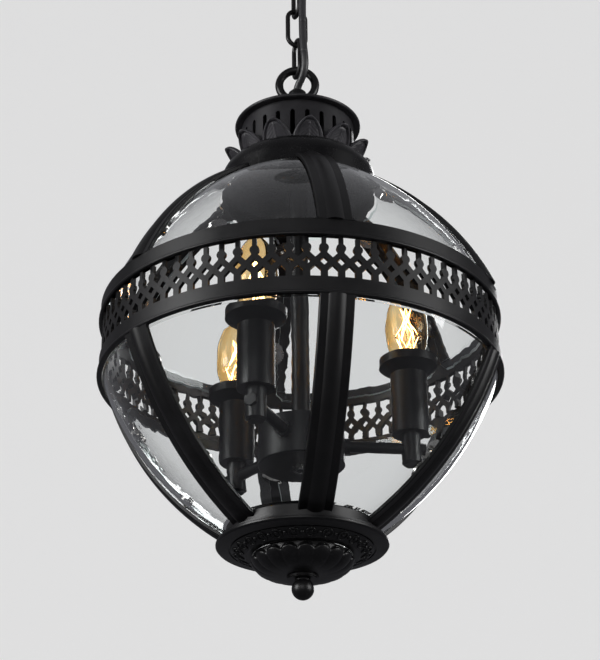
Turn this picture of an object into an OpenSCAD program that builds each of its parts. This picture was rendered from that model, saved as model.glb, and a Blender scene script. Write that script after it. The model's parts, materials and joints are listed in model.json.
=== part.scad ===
// Globe lantern pendant: ribbed glass globe with a fretwork girdle, hung on a short chain.
// Millimetres, +Z up, origin at the centre of the ceiling rose on the ceiling face.
// The lantern's own modules are drawn with z = 0 at the lower edge of the upper girdle ring
// and lowered by drop. Azimuths count from -Y, the front, towards +X.

/* [Ceiling rose] */
// Outer diameter of the ceiling rose
rose_d = 110; // [96:1:140]
// Height of the rose below the ceiling
rose_h = 50; // [40:1:70]
// Straight rim of the rose before it curves in
rose_rim = 8; // [4:1:14]
// Sheet thickness of the rose
rose_wall = 1.6; // [1.2:0.1:2.5]
// Distance between the two ceiling screws
bolt_spacing = 70; // [60:1:80]
// Hole for a ceiling screw
bolt_d = 5; // [4:0.5:6]
// Width of the ceiling bracket
bracket_w = 20; // [16:1:30]
// Thickness of the ceiling bracket
bracket_t = 2; // [1.5:0.1:3]
// Depth of the bracket's bridge under the ceiling
bridge_h = 12; // [10:1:18]

/* [Chain] */
// Outer length of a chain link
link_l = 40; // [34:1:50]
// Outer width of a chain link
link_w = 20; // [19:0.5:26]
// Wire diameter of a chain link
link_wire = 4; // [3:0.1:4.4]
// Turn of the whole chain about its own line
chain_twist = 18; // [0:1:30]
// Outer diameter of a suspension loop
loop_d = 38; // [36:1:46]
// Wire diameter of a suspension loop
loop_wire = 7; // [5:0.5:7.5]
// Diameter of the nipple that rises inside a loop
nipple_d = 15; // [13:0.5:17]
// Distance from a loop's centre to the gland's face
gland_drop = 6; // [5:0.5:8]
// Height of the lock collar under a loop
lock_h = 13; // [8:1:18]
// Free run at rest between one hanging piece and the next
hang_gap = 0.3; // [0.2:0.05:0.5]
// Diameter of the flex
flex_d = 6.5; // [5:0.5:7]

/* [Girdle] */
// Outer diameter of the globe at its rings
globe_d = 320; // [300:1:340]
// Height of each girdle ring
ring_h = 14; // [10:0.5:20]
// Wall of each girdle ring
ring_t = 2.7; // [2:0.1:2.8]
// Radius of the rolled edge of a girdle ring
ring_bead = 1.4; // [1:0.1:2]
// Height of the fretwork between the rings
fret_h = 33.5; // [31:0.5:38]
// Number of fretwork motifs
fret_count = 78; // [74:1:82]
// Step of the fretwork behind the ring face
fret_inset = 1.5; // [0.5:0.1:2]
// Thickness of the fretwork
fret_t = 3; // [2:0.1:4]
// Width of a lattice bar
fret_bar = 4.5; // [3.5:0.1:5]
// Diameter of the bulb on each post
fret_bulb = 7.2; // [6:0.1:8]
// Width of the neck above each bulb
fret_neck = 3.4; // [2.5:0.1:4]

/* [Ribs] */
// Number of ribs in each half
rib_count = 6; // [6:1:6]
// Azimuth of the front rib
rib_az = 9.85; // [0:0.05:30]
// Width of a rib
rib_w = 26.1; // [22:0.1:30]
// Thickness of a rib
rib_t = 3; // [2:0.1:4]
// Width of the raised bead along a rib
bead_w = 13; // [9:0.5:16]
// Height of the raised bead
bead_h = 2.4; // [1:0.1:3]
// Bend radius of the upper ribs
upper_bend = 245; // [200:1:300]
// Bend radius of the lower ribs
lower_bend = 263; // [220:1:320]
// Fillet where a rib flows into its ring
flare_r = 2.5; // [1.5:0.5:6]

/* [Glass] */
// Thickness of a pane
glass_t = 3; // [2:0.1:4]
// Half gap between two panes behind a rib
pane_gap = 4.7; // [4:0.1:7]
// Clearance between a pane and what it lies on
pane_seat = 0.3; // [0.2:0.05:0.6]
// Corner cut of a pane
pane_corner = 8; // [4:0.5:12]
// Overlap of the panes behind the girdle rings
pane_lap = 8; // [4:0.5:10]
// Diameter of a clamp washer
washer_d = 20; // [16:0.5:24]
// Thickness of a clamp washer
washer_t = 1.5; // [1:0.1:2]
// Thread diameter of a clamp screw
screw_d = 3; // [2.5:0.1:4]
// Head diameter of a clamp screw
head_d = 6; // [5.2:0.1:8]
// Height of the lower and upper clamps of the upper ribs over the upper ring
clamp_up = [33, 103]; // [25:1:105]
// Depth of the upper and lower clamps of the lower ribs under the lower ring
clamp_low = [24, 92]; // [18:1:100]

/* [Crown] */
// Height of the upper glazed part, from the ring to the shoulder
upper_h = 109; // [100:1:120]
// Outer diameter of the shoulder dome
dome_d = 129; // [120:1:136]
// Straight skirt of the shoulder dome
dome_skirt = 13; // [10:1:16]
// Rounding of the shoulder dome
dome_round = 16; // [12:1:18]
// Sheet thickness of the dome and the slotted collar
sheet_t = 2.2; // [1.6:0.1:3]
// Height of the dome's inner plate over its lower edge
plate_up = 6; // [5:0.5:8]
// Outer diameter of the slotted collar
collar_d = 94.8; // [86:0.2:96]
// Height of the slotted collar
collar_h = 38; // [34:1:46]
// Number of slots in the collar
slot_count = 24; // [12:2:30]
// Width of a slot
slot_w = 4; // [3:0.1:5]
// Length of a slot
slot_l = 25; // [18:1:28]
// Distance from the flange to the top of a slot
slot_down = 9; // [5:0.5:9]
// Diameter of the top flange
flange_d = 106.6; // [100:0.2:116]
// Thickness of the top flange
flange_t = 3; // [2:0.2:4]
// Rise of the cap on the flange
cap_h = 6; // [3:0.5:10]
// Number of leaves in the crown
leaf_count = 12; // [12:1:12]
// Width of a leaf at its foot
leaf_w = 25.6; // [22:0.2:26]
// Length of a leaf
leaf_l = 18; // [14:0.5:20]
// Outward lean of a leaf
leaf_lean = 35; // [25:1:45]
// Thickness of a leaf
leaf_t = 1.4; // [1:0.1:2]

/* [Lamps] */
// Diameter of the centre rod
rod_d = 15; // [12:0.5:18]
// Length of the centre rod between the dome plate and the hub
rod_l = 213; // [200:1:225]
// Diameter of the hub drum
hub_d = 68; // [60:1:76]
// Height of the hub drum
hub_h = 29.5; // [26:0.5:34]
// Height of the cover under the hub
hub_cover_h = 4; // [3:0.5:6]
// Number of lamps
lamp_count = 3; // [3:1:3]
// Azimuth of the first lamp
lamp_az = -22.3; // [-60:0.1:60]
// Radius at which the lamps stand
lamp_r = 87.5; // [82:0.5:92]
// Depth of the arms under the top of the hub
arm_down = 15; // [12:0.5:18]
// Diameter of an arm
arm_d = 9; // [7:0.5:10]
// Diameter of the riser on the end of an arm
riser_d = 15.8; // [13:0.2:18]
// Rise from the arm to the foot of the candle sleeve
riser_up = 12; // [8:0.5:16]
// Reach of the riser under the arm
riser_low = 14; // [10:0.5:18]
// Diameter of a candle sleeve
sleeve_d = 29; // [28:0.5:32]
// Length of a candle sleeve
sleeve_l = 51.5; // [46:0.5:58]
// Wall of a candle sleeve and a drip cup
sleeve_wall = 1.2; // [0.8:0.1:1.5]
// Diameter of a drip cup
cup_d = 47; // [42:0.5:52]
// Height of a drip cup
cup_h = 13.5; // [11:0.5:16]
// Height of the upright rim of a drip cup
cup_rim = 7; // [4:0.5:8]
// Diameter of a lampholder
holder_d = 24; // [22:0.5:24.5]
// Depth of the screw shell of a lampholder
holder_bore_l = 26; // [22:0.5:30]
// Diameter of a bulb's cap
cap_d = 13.6; // [13:0.1:14]
// Diameter of a bulb
bulb_d = 35; // [33:0.5:38]
// Height of the bulb's widest place over the cup's rim
bulb_wide = 25; // [22:0.5:28]
// Length of a bulb's glass
bulb_l = 63; // [58:0.5:68]
// Wall of a bulb's glass
bulb_wall = 0.8; // [0.6:0.1:1.2]

/* [Bottom] */
// Height of the lower glazed part, from the ring to the base flange
lower_h = 132; // [124:1:140]
// Outer diameter of the lower collar
base_d = 116.8; // [110:0.2:118]
// Height of the lower collar over its flange
base_h = 11; // [8:0.5:14]
// Thickness of the lower collar's flange
base_t = 1.6; // [1.2:0.1:2.4]
// Diameter of the tray
tray_d = 132.6; // [130:0.2:138]
// Depth of the tray down to the bowl
tray_h = 9.8; // [8:0.2:12]
// Diameter at which the tray turns down to the bowl
bowl_d = 81; // [76:0.5:86]
// Depth of the bowl
bowl_h = 16; // [13:0.5:20]
// Number of lobes round the bowl
lobe_count = 18; // [12:1:24]
// Depth of the grooves between the lobes
lobe_depth = 2.2; // [1:0.1:3]
// Number of beads round the tray
tray_beads = 24; // [18:1:48]
// Radius of a tray bead
tray_bead_r = 1.8; // [1.2:0.1:2]
// Diameter of the ball of the finial
ball_d = 17.2; // [14:0.2:22]
// Diameter of the washer over the finial
finial_washer_d = 24; // [18:0.5:26]
// Diameter of the stud that holds the tray
stud_d = 6; // [5:0.5:7]

/* [Hidden] */
$fn = 72;

metal = "#2c2b2d";
nickel = "#b9b7b2";
glass_tint = [0.82, 0.86, 0.88, 0.25];
amber = [0.95, 0.62, 0.25, 0.5];

// Clearances between pieces that are put together
slip = 0.1;
fit = 0.2;
eps = 0.01;

// Threaded tube that runs through each loop, its nuts and its wire way
tube_d = 10;
tube_nut = 17;
tube_nut_h = 4;
wire_way_d = 5.2;
loop_neck = 4;
gland_h = 2.2;
gland_d = 12.6;

// Chain, from the rose down to the lantern's loop
link_bend = (link_w - link_wire) / 2;
link_straight = link_l - link_w;
loop_ring = (loop_d - loop_wire) / 2;
loop_up = lock_h + loop_neck + loop_d / 2;
rose_loop_z = -rose_h - loop_up;
hang_3 = rose_loop_z - loop_ring;
link_3_top = hang_3 + (loop_wire + link_wire) / 2 + hang_gap;
hang_2 = link_3_top - (link_l - link_wire);
link_2_top = hang_2 + link_wire + hang_gap;
hang_1 = link_2_top - (link_l - link_wire);
link_1_top = hang_1 + link_wire + hang_gap;
hang_0 = link_1_top - (link_l - link_wire);
lantern_loop_z = hang_0 + (loop_wire + link_wire) / 2 + hang_gap - loop_ring;

// Heights of the lantern, from the lower edge of the upper ring
z_shoulder = ring_h + upper_h;
z_plate = z_shoulder + plate_up;
z_neck = z_shoulder + dome_skirt + dome_round;
z_flange = z_neck + collar_h;
z_cap = z_flange + flange_t + cap_h;
z_loop = z_cap + loop_up;
drop = z_loop - lantern_loop_z;
z_low = -fret_h - ring_h;
z_base = z_low - lower_h;
z_tray = z_base - base_t;
z_bowl = z_tray - tray_h;
z_bottom = z_bowl - bowl_h;

globe_r = globe_d / 2;
dome_r = dome_d / 2;
foot_rise = 16;
foot_out = 14.6;

// Centre of an arc through p and q; side +1 or -1 says on which hand it lies
function arc_centre(p, q, r, side) =
    let (d = q - p, l = norm(d))
    (p + q) / 2 + side * sqrt(r * r - l * l / 4) * [d[1], -d[0]] / l;

// The ribs' outer faces: the upper arc runs from the ring to the shoulder, the lower one from
// the ring past the point lower_b to the wall of the lower collar
upper_a = [globe_r, ring_h];
upper_b = [dome_r, z_shoulder + 4.3];
upper_c = arc_centre(upper_a, upper_b, upper_bend, -1);
lower_a = [globe_r, z_low];
lower_b = [base_d / 2 + foot_out, z_base + foot_rise];
lower_c = arc_centre(lower_a, lower_b, lower_bend, 1);

// Angle, seen from c, of the place on an arc of radius r at height z
function arc_angle(c, r, z) = asin((z - c[1]) / r);

// Inner face of the glass, counted back from a rib's outer face
glass_back = rib_t + pane_seat + glass_t;

bead_r = (bead_w * bead_w / 4 + bead_h * bead_h) / (2 * bead_h);
washer_back = 0.6;
screw_bite = 2;

// Lamp heights
z_hub = z_plate - rod_l;
z_arm = z_hub - arm_down;
z_sleeve = z_arm + riser_up;
z_cup = z_sleeve + sleeve_l;
z_rim = z_cup + cup_h;
z_holder = z_rim - 2;
z_wide = z_rim + bulb_wide;
bulb_neck_r = 7.6;
z_bulb_neck = z_rim + 1.5;
hub_bottom = z_hub - hub_h;

// Route of the flex, from the lantern's gland past the chain to the rose's gland
flex_route = [
    [0, 0, -210.5], [0, 0, -208.3], [1.4, -2.2, -205], [3.6, -5.4, -201.6], [5.6, -8.9, -197.4],
    [6.7, -12, -191], [6.5, -13.4, -183], [5.7, -13.3, -172], [5.2, -13.1, -160],
    [5.1, -13.1, -148], [5.1, -13.1, -136], [5.3, -13.2, -124], [5.9, -13.4, -112],
    [6.3, -12.9, -103.5], [5.4, -10.2, -95], [2.8, -5.5, -89], [1, -1.8, -84.5], [0, 0, -82],
    [0, 0, -80.3]
];
flex_sides = 12;

// Puts what is built along +X at an azimuth that counts from the front
module at_azimuth(a) {
    rotate([0, 0, a - 90]) children();
}

module in_lantern() {
    translate([0, 0, -drop]) children();
}

// A drawing in y and z, drawn out along +X
module along_x(l) {
    rotate([90, 0, 90]) linear_extrude(l) children();
}

module hex_nut(width, bore, h) {
    difference() {
        cylinder(d = width / cos(30), h = h, $fn = 6);
        translate([0, 0, -1]) cylinder(d = bore, h = h + 2);
    }
}

module pipe(d, bore, h) {
    difference() {
        cylinder(d = d, h = h);
        translate([0, 0, -1]) cylinder(d = bore, h = h + 2);
    }
}

/* Ceiling */

module ceiling_bracket() {
    half = bolt_spacing / 2;
    color(nickel) difference() {
        rotate([90, 0, 0]) translate([0, 0, -bracket_w / 2]) linear_extrude(bracket_w) polygon([
            [-half - 10, 0], [-half + 10, 0], [-15, -bridge_h + bracket_t],
            [15, -bridge_h + bracket_t], [half - 10, 0], [half + 10, 0],
            [half + 10, -bracket_t], [half - 10.5, -bracket_t], [15.5, -bridge_h],
            [-15.5, -bridge_h], [-half + 10.5, -bracket_t], [-half - 10, -bracket_t]
        ]);
        for (s = [-1, 1])
            translate([s * half, 0, -bracket_t - 1]) cylinder(d = bolt_d, h = bracket_t + 2);
        translate([0, 0, -bridge_h - 1]) cylinder(d = tube_d + 2 * slip, h = bridge_h);
    }
}

// Half section of the rose, its outer face pulled in by t
module rose_half(t) {
    round_r = rose_h - rose_rim;
    middle = rose_d / 2 - round_r;
    translate([0, -rose_rim]) square([rose_d / 2 - t, rose_rim]);
    translate([0, -rose_h + t]) square([middle, rose_h - rose_rim - t]);
    intersection() {
        translate([middle, -rose_rim]) circle(round_r - t);
        translate([middle, -rose_h]) square([round_r, rose_h - rose_rim]);
    }
}

module ceiling_rose() {
    color(metal) rotate_extrude() difference() {
        rose_half(0);
        rose_half(rose_wall);
        translate([0, -rose_h - 1]) square([tube_d / 2 + slip, rose_h + 1]);
    }
}

module rose_nipple() {
    color(nickel) {
        translate([0, 0, -rose_h - lock_h - 3])
            pipe(tube_d, wire_way_d, rose_h + lock_h + 3 - bridge_h + 8);
        translate([0, 0, -bridge_h + bracket_t]) hex_nut(tube_nut, tube_d - eps, tube_nut_h);
        translate([0, 0, -rose_h + rose_wall]) hex_nut(tube_nut, tube_d - eps, tube_nut_h);
    }
}

// Lock collar between a loop and the face that carries it, face at z = 0
module lock_collar() {
    difference() {
        union() {
            cylinder(r = 12, h = lock_h * 0.4);
            translate([0, 0, lock_h * 0.4]) cylinder(r1 = 12, r2 = nipple_d / 2 + 1, h = lock_h * 0.6);
        }
        translate([0, 0, -1]) cylinder(d = tube_d + 2 * slip, h = lock_h + 2);
    }
}

// Cast loop with the nipple at its foot; z = 0 is the loop's centre and the nipple points down
module cast_loop() {
    foot = loop_neck + loop_d / 2;
    socket = 4 + loop_neck;
    difference() {
        union() {
            rotate([90, 0, 0]) rotate_extrude() translate([loop_ring, 0]) circle(d = loop_wire);
            translate([0, 0, -foot]) cylinder(d = nipple_d, h = foot - gland_drop - gland_h);
        }
        translate([0, 0, -foot - 1]) cylinder(d = tube_d + 2 * slip, h = socket + 1);
        translate([0, 0, -foot - 1]) cylinder(d = wire_way_d, h = foot);
    }
}

module gland_bush() {
    translate([0, 0, -gland_drop - gland_h]) difference() {
        union() {
            cylinder(d = gland_d, h = gland_h * 0.5);
            translate([0, 0, gland_h * 0.5]) cylinder(d1 = gland_d, d2 = gland_d - 2, h = gland_h * 0.5);
        }
        translate([0, 0, -1]) cylinder(d = wire_way_d, h = gland_h + 2);
    }
}

module rose_collar() {
    color(metal) translate([0, 0, -rose_h]) mirror([0, 0, 1]) lock_collar();
}

module rose_loop() {
    color(metal) translate([0, 0, rose_loop_z]) rotate([0, 0, chain_twist]) mirror([0, 0, 1]) cast_loop();
}

module rose_gland() {
    color("#1a1a1a") translate([0, 0, rose_loop_z]) mirror([0, 0, 1]) gland_bush();
}

module terminal_block() {
    color("#d8d6cf") translate([-12, bracket_w / 2 + 4, -bridge_h - 14]) difference() {
        union() {
            cube([24, 16, 12]);
            translate([8, -8, 12]) cube([8, 16, 2]);
        }
        for (x = [6, 12, 18]) translate([x, -1, 6]) rotate([-90, 0, 0]) cylinder(d = 3, h = 18);
    }
}

/* Flex */

// Unit direction of the route at point i
function route_dir(i) =
    let (a = flex_route[max(i - 1, 0)], b = flex_route[min(i + 1, len(flex_route) - 1)])
    (b - a) / norm(b - a);

module flex() {
    rings = len(flex_route);
    points = [
        for (i = [0 : rings - 1])
            let (t = route_dir(i), s = cross([0, 1, 0], t), u = s / norm(s), v = cross(t, u))
            for (k = [0 : flex_sides - 1])
                let (a = 360 * k / flex_sides)
                flex_route[i] + flex_d / 2 * (cos(a) * u + sin(a) * v)
    ];
    sides = [
        for (i = [0 : rings - 2], k = [0 : flex_sides - 1])
            let (n = (k + 1) % flex_sides, b = i * flex_sides, c = b + flex_sides)
            [b + k, c + k, c + n, b + n]
    ];
    ends = [
        [for (k = [0 : flex_sides - 1]) k],
        [for (k = [flex_sides - 1 : -1 : 0]) (rings - 1) * flex_sides + k]
    ];
    color("#161616") polyhedron(points, concat(ends, sides));
}

/* Chain */

module chain_link(top, turn) {
    color(metal) translate([0, 0, top - (link_l - link_wire) / 2]) rotate([0, 0, turn]) union() {
        for (s = [-1, 1]) translate([s * link_bend, 0, -link_straight / 2])
            cylinder(d = link_wire, h = link_straight);
        translate([0, 0, link_straight / 2]) rotate([90, 0, 0])
            rotate_extrude(angle = 180) translate([link_bend, 0]) circle(d = link_wire);
        translate([0, 0, -link_straight / 2]) rotate([-90, 0, 0])
            rotate_extrude(angle = 180) translate([link_bend, 0]) circle(d = link_wire);
    }
}

module chain_link_1() {
    chain_link(link_1_top, chain_twist + 90);
}

module chain_link_2() {
    chain_link(link_2_top, chain_twist);
}

module chain_link_3() {
    chain_link(link_3_top, chain_twist + 90);
}

/* Crown */

module suspension_loop() {
    color(metal) in_lantern() translate([0, 0, z_loop]) cast_loop();
}

module cord_gland() {
    color("#1a1a1a") in_lantern() translate([0, 0, z_loop]) gland_bush();
}

module loop_collar() {
    color(metal) in_lantern() translate([0, 0, z_cap]) lock_collar();
}

module top_flange() {
    color(metal) in_lantern() translate([0, 0, z_flange]) difference() {
        union() {
            cylinder(d = flange_d - flange_t, h = flange_t);
            rotate_extrude() translate([flange_d / 2 - flange_t / 2, flange_t / 2]) circle(d = flange_t);
            translate([0, 0, flange_t]) cylinder(r1 = flange_d / 2 - 12, r2 = 16, h = cap_h);
        }
        translate([0, 0, -1]) cylinder(d = tube_d + 2 * slip, h = flange_t + cap_h + 2);
    }
}

module slotted_collar() {
    color(metal) in_lantern() translate([0, 0, z_neck]) difference() {
        pipe(collar_d, collar_d - 2 * sheet_t, collar_h);
        for (i = [0 : slot_count - 1]) at_azimuth(rib_az + i * 360 / slot_count) {
            for (z = [collar_h - slot_down - slot_w / 2, collar_h - slot_down - slot_l + slot_w / 2])
                translate([collar_d / 2 - 2 * sheet_t, 0, z]) rotate([0, 90, 0])
                    cylinder(d = slot_w, h = 4 * sheet_t);
            translate([collar_d / 2 - 2 * sheet_t, -slot_w / 2, collar_h - slot_down - slot_l + slot_w / 2])
                cube([4 * sheet_t, slot_w, slot_l - slot_w]);
        }
    }
}

// Pointed leaf outline of half width w, its edge pulled in by b
module leaf_outline(w, b) {
    arch = (leaf_w * leaf_w / 4 + leaf_l * leaf_l) / leaf_w;
    intersection() {
        translate([w - arch, 0]) circle(arch - b);
        translate([arch - w, 0]) circle(arch - b);
        translate([-w, 0]) square([2 * w, leaf_l + 1]);
    }
}

module leaf() {
    border = 2;
    along_x(leaf_t) leaf_outline(leaf_w / 2, 0);
    translate([leaf_t - eps, 0, 0]) along_x(0.9) difference() {
        leaf_outline(leaf_w / 2, 0);
        leaf_outline(leaf_w / 2, border);
    }
    translate([leaf_t, 0, 0]) cylinder(r = 0.9, h = leaf_l - border - 1);
}

module leaf_crown() {
    foot_r = collar_d / 2 + fit;
    color(metal) in_lantern() translate([0, 0, z_neck]) union() {
        pipe(2 * (foot_r + 3.6), 2 * foot_r, 2.4);
        for (i = [0 : leaf_count - 1]) at_azimuth(rib_az + i * 360 / leaf_count)
            translate([foot_r + 1.2, 0, 1.3]) rotate([0, leaf_lean, 0]) leaf();
    }
}

// Half section of the dome, its outer face pulled in by t
module dome_half(t) {
    translate([0, 0]) square([dome_r - t, dome_skirt]);
    square([dome_r - dome_round, dome_skirt + dome_round - t]);
    intersection() {
        translate([dome_r - dome_round, dome_skirt]) circle(dome_round - t);
        translate([dome_r - dome_round, dome_skirt]) square([dome_round, dome_round]);
    }
}

module shoulder_dome() {
    color(metal) in_lantern() translate([0, 0, z_shoulder]) difference() {
        rotate_extrude() dome_half(0);
        rotate_extrude() intersection() {
            dome_half(sheet_t);
            translate([0, plate_up + sheet_t]) square([dome_r, dome_skirt + dome_round]);
        }
        translate([0, 0, -1]) cylinder(r = dome_r - sheet_t, h = plate_up + 1);
        translate([0, 0, -1]) cylinder(d = tube_d + 2 * slip, h = z_neck - z_shoulder + 2);
    }
}

/* Ribs and girdle */

// Section of a rib for a sweep: outer face at radius r, with its raised bead
module rib_section(r) {
    edge = 0.8;
    w = rib_w;
    polygon([
        [r - rib_t, -w / 2], [r - edge, -w / 2], [r, -w / 2 + edge], [r, w / 2 - edge],
        [r - edge, w / 2], [r - rib_t, w / 2]
    ]);
    intersection() {
        translate([r + bead_h - bead_r, 0]) circle(bead_r);
        translate([r - 1, -bead_w / 2]) square([bead_h + 2, bead_w]);
    }
}

// Puts the turning axis of a sweep at the point c of the r-z plane
module bend_at(c) {
    translate([c[0], 0, c[1]]) rotate([90, 0, 0]) children();
}

// The section swept round the point c from angle a0 to a1
module bent_rib(c, a0, a1, r) {
    bend_at(c) rotate([0, 0, a0]) rotate_extrude(angle = a1 - a0, $fn = 180) rib_section(r);
}

// The fillets at a rib's root, a little thinner than the rib; they rise from height z with s = 1
module rib_root(c, r, z, s) {
    a = arc_angle(c, r, z);
    thin = 0.2;
    intersection() {
        bend_at(c) rotate([0, 0, a - 6]) rotate_extrude(angle = 12, $fn = 180)
            translate([r - rib_t + thin, -rib_w / 2 - flare_r])
                square([rib_t - 2 * thin, rib_w + 2 * flare_r]);
        translate([globe_r - 40, 0, z]) along_x(60) root_outline(s);
    }
}

// Outline of a rib's root with a fillet on each side; it rises from z = 0 with s = 1
module root_outline(s) {
    reach = rib_w / 2 + flare_r;
    difference() {
        translate([-reach, s > 0 ? 0 : -flare_r]) square([2 * reach, flare_r]);
        for (k = [-1, 1]) translate([k * reach, s * flare_r]) circle(flare_r);
    }
}

// Puts children on an arc about c at height z, with +X along the outward normal of radius r
module on_arc(c, r, z) {
    translate([c[0], 0, c[1]]) rotate([0, -arc_angle(c, r, z), 0]) translate([r, 0, 0]) children();
}

module screw_hole() {
    translate([-rib_t - 1, 0, 0]) rotate([0, 90, 0]) cylinder(d = screw_d + 2 * slip, h = screw_bite + 1);
}

module upper_rib(i) {
    a0 = arc_angle(upper_c, upper_bend, ring_h);
    a1 = arc_angle(upper_c, upper_bend, upper_b[1]);
    color(metal) in_lantern() at_azimuth(rib_az + i * 360 / rib_count) difference() {
        union() {
            bent_rib(upper_c, a0 - 2, a1 + 4, upper_bend);
            rib_root(upper_c, upper_bend, ring_h, 1);
        }
        translate([globe_r - 60, -50, ring_h - 30]) cube([120, 100, 30]);
        translate([0, 0, z_shoulder - 20]) cylinder(r = dome_r + eps, h = 60);
        for (z = clamp_up) on_arc(upper_c, upper_bend, ring_h + z) screw_hole();
    }
}

module lower_rib(i) {
    a0 = arc_angle(lower_c, lower_bend, z_low);
    a1 = arc_angle(lower_c, lower_bend, z_base);
    color(metal) in_lantern() at_azimuth(rib_az + i * 360 / rib_count) difference() {
        union() {
            bent_rib(lower_c, a1, a0 + 2, lower_bend);
            rib_root(lower_c, lower_bend, z_low, -1);
        }
        translate([globe_r - 60, -50, z_low]) cube([120, 100, 30]);
        translate([0, 0, z_base - 30]) cylinder(r = base_d / 2 + eps, h = 60);
        for (z = clamp_low) on_arc(lower_c, lower_bend, z_low - z) screw_hole();
    }
}

module upper_rib_1() { upper_rib(0); }
module upper_rib_2() { upper_rib(1); }
module upper_rib_3() { upper_rib(2); }
module upper_rib_4() { upper_rib(3); }
module upper_rib_5() { upper_rib(4); }
module upper_rib_6() { upper_rib(5); }
module lower_rib_1() { lower_rib(0); }
module lower_rib_2() { lower_rib(1); }
module lower_rib_3() { lower_rib(2); }
module lower_rib_4() { lower_rib(3); }
module lower_rib_5() { lower_rib(4); }
module lower_rib_6() { lower_rib(5); }

// Girdle ring with a rolled lower edge, lower face at z = 0
module girdle_ring() {
    rotate_extrude($fn = 180) {
        translate([globe_r - ring_t, 0]) square([ring_t, ring_h]);
        intersection() {
            translate([globe_r, ring_bead]) circle(ring_bead, $fn = 32);
            translate([globe_r - ring_t + eps, 0]) square([ring_t + 2 * ring_bead, 2 * ring_bead]);
        }
    }
}

module upper_ring() {
    color(metal) in_lantern() girdle_ring();
}

module lower_ring() {
    color(metal) in_lantern() translate([0, 0, z_low]) girdle_ring();
}

// Openings of one fretwork motif, centred half way between two posts; z = 0 at its foot
module fret_openings(pitch) {
    half = pitch / 2;
    cross_z = fret_h * 0.39;
    reach = fret_bar / sqrt(2);
    house = half - reach * 0.82;
    barb = half - reach * 0.76;
    bulb_z = fret_h * 0.725;
    // House under the crossing
    polygon([
        [-house, 0], [house, 0], [house, cross_z - reach - house], [0, cross_z - reach],
        [-house, cross_z - reach - house]
    ]);
    // Arrow over the crossing, cut by the two bulbs
    difference() {
        polygon([
            [0, cross_z + reach], [barb, cross_z + reach + barb], [half - fret_bulb / 3, bulb_z],
            [half - fret_neck / 2, bulb_z + fret_bulb * 0.42], [half - fret_neck / 2, fret_h],
            [-half + fret_neck / 2, fret_h], [-half + fret_neck / 2, bulb_z + fret_bulb * 0.42],
            [-half + fret_bulb / 3, bulb_z], [-barb, cross_z + reach + barb]
        ]);
        for (s = [-1, 1]) translate([s * half, bulb_z]) circle(d = fret_bulb, $fn = 24);
    }
}

module fretwork_band() {
    outer = globe_r - fret_inset;
    pitch = 2 * PI * outer / fret_count;
    diamond = pitch / sqrt(2) - fret_bar;
    turn = 360 / fret_count;
    color(metal) in_lantern() translate([0, 0, -fret_h]) difference() {
        rotate_extrude($fn = 180) translate([outer - fret_t, 0]) square([fret_t, fret_h]);
        for (i = [0 : fret_count - 1]) {
            at_azimuth(1.95 + (i + 0.5) * turn) translate([outer - 2 * fret_t, 0, 0])
                along_x(3 * fret_t) fret_openings(pitch);
            at_azimuth(1.95 + i * turn) translate([outer - 2 * fret_t, 0, fret_h * 0.39]) rotate([45, 0, 0])
                translate([0, -diamond / 2, -diamond / 2]) cube([3 * fret_t, diamond, diamond]);
        }
    }
}

/* Glass and its clamps */

// Half section of a pane ring: an arc of radius r about c inside the given box, and from height
// z_edge a straight lap of height lap behind the girdle ring; s says on which hand the arc lies
module pane_half(c, r, box_low, box_size, z_edge, s) {
    face = c[0] + sqrt(pow(r - rib_t - pane_seat, 2) - pow(z_edge - c[1], 2));
    intersection() {
        difference() {
            translate(c) circle(r - rib_t - pane_seat, $fn = 360);
            translate(c) circle(r - glass_back, $fn = 360);
        }
        translate(box_low) square(box_size);
    }
    polygon([
        [face - glass_t, z_edge - s * pane_lap], [face, z_edge - s * pane_lap], [face, z_edge],
        [face - glass_t / 2, z_edge + s * 0.8], [face - glass_t, z_edge]
    ]);
}

// One pane: the ring between two ribs, its sides and corners cut; z0 and z1 are its ends
module pane(z0, z1) {
    half = 180 / rib_count;
    difference() {
        rotate([0, 0, -half]) rotate_extrude(angle = 2 * half, $fn = 180) children();
        for (s = [-1, 1]) rotate([0, 0, s * half]) {
            translate([0, s > 0 ? -pane_gap : pane_gap - 40, z0 - 5]) cube([200, 40, z1 - z0 + 10]);
            for (z = [z0, z1]) translate([20, -s * pane_gap, z]) rotate([45, 0, 0])
                translate([0, -pane_corner / 2, -pane_corner / 2]) cube([200, pane_corner, pane_corner]);
        }
    }
}

module upper_glass() {
    z0 = ring_h - pane_lap;
    top_r = dome_r + 2;
    z1 = upper_c[1] + sqrt(pow(upper_bend - rib_t - pane_seat, 2) - pow(top_r - upper_c[0], 2));
    box_size = [globe_r, z_neck - ring_h];
    color(glass_tint) in_lantern() for (i = [0 : rib_count - 1])
        at_azimuth(rib_az + (i + 0.5) * 360 / rib_count)
            pane(z0, z1) pane_half(upper_c, upper_bend, [top_r, ring_h], box_size, ring_h, 1);
}

module lower_glass() {
    z1 = z_low + pane_lap;
    z0 = z_base + base_h + pane_seat;
    box_size = [globe_r, z_low - z0];
    color(glass_tint) in_lantern() for (i = [0 : rib_count - 1])
        at_azimuth(rib_az + (i + 0.5) * 360 / rib_count)
            pane(z0, z1) pane_half(lower_c, lower_bend, [base_d / 2 - 8, z0], box_size, z_low, -1);
}

// Puts children at every clamp, +X outwards, on the rib's outer face
module at_clamps() {
    for (i = [0 : rib_count - 1]) at_azimuth(rib_az + i * 360 / rib_count) {
        for (z = clamp_up) on_arc(upper_c, upper_bend, ring_h + z) children();
        for (z = clamp_low) on_arc(lower_c, lower_bend, z_low - z) children();
    }
}

module glass_washers() {
    color(nickel) in_lantern() at_clamps()
        translate([-glass_back - washer_back - washer_t, 0, 0]) rotate([0, 90, 0])
            pipe(washer_d, screw_d + 2 * slip, washer_t);
}

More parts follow.
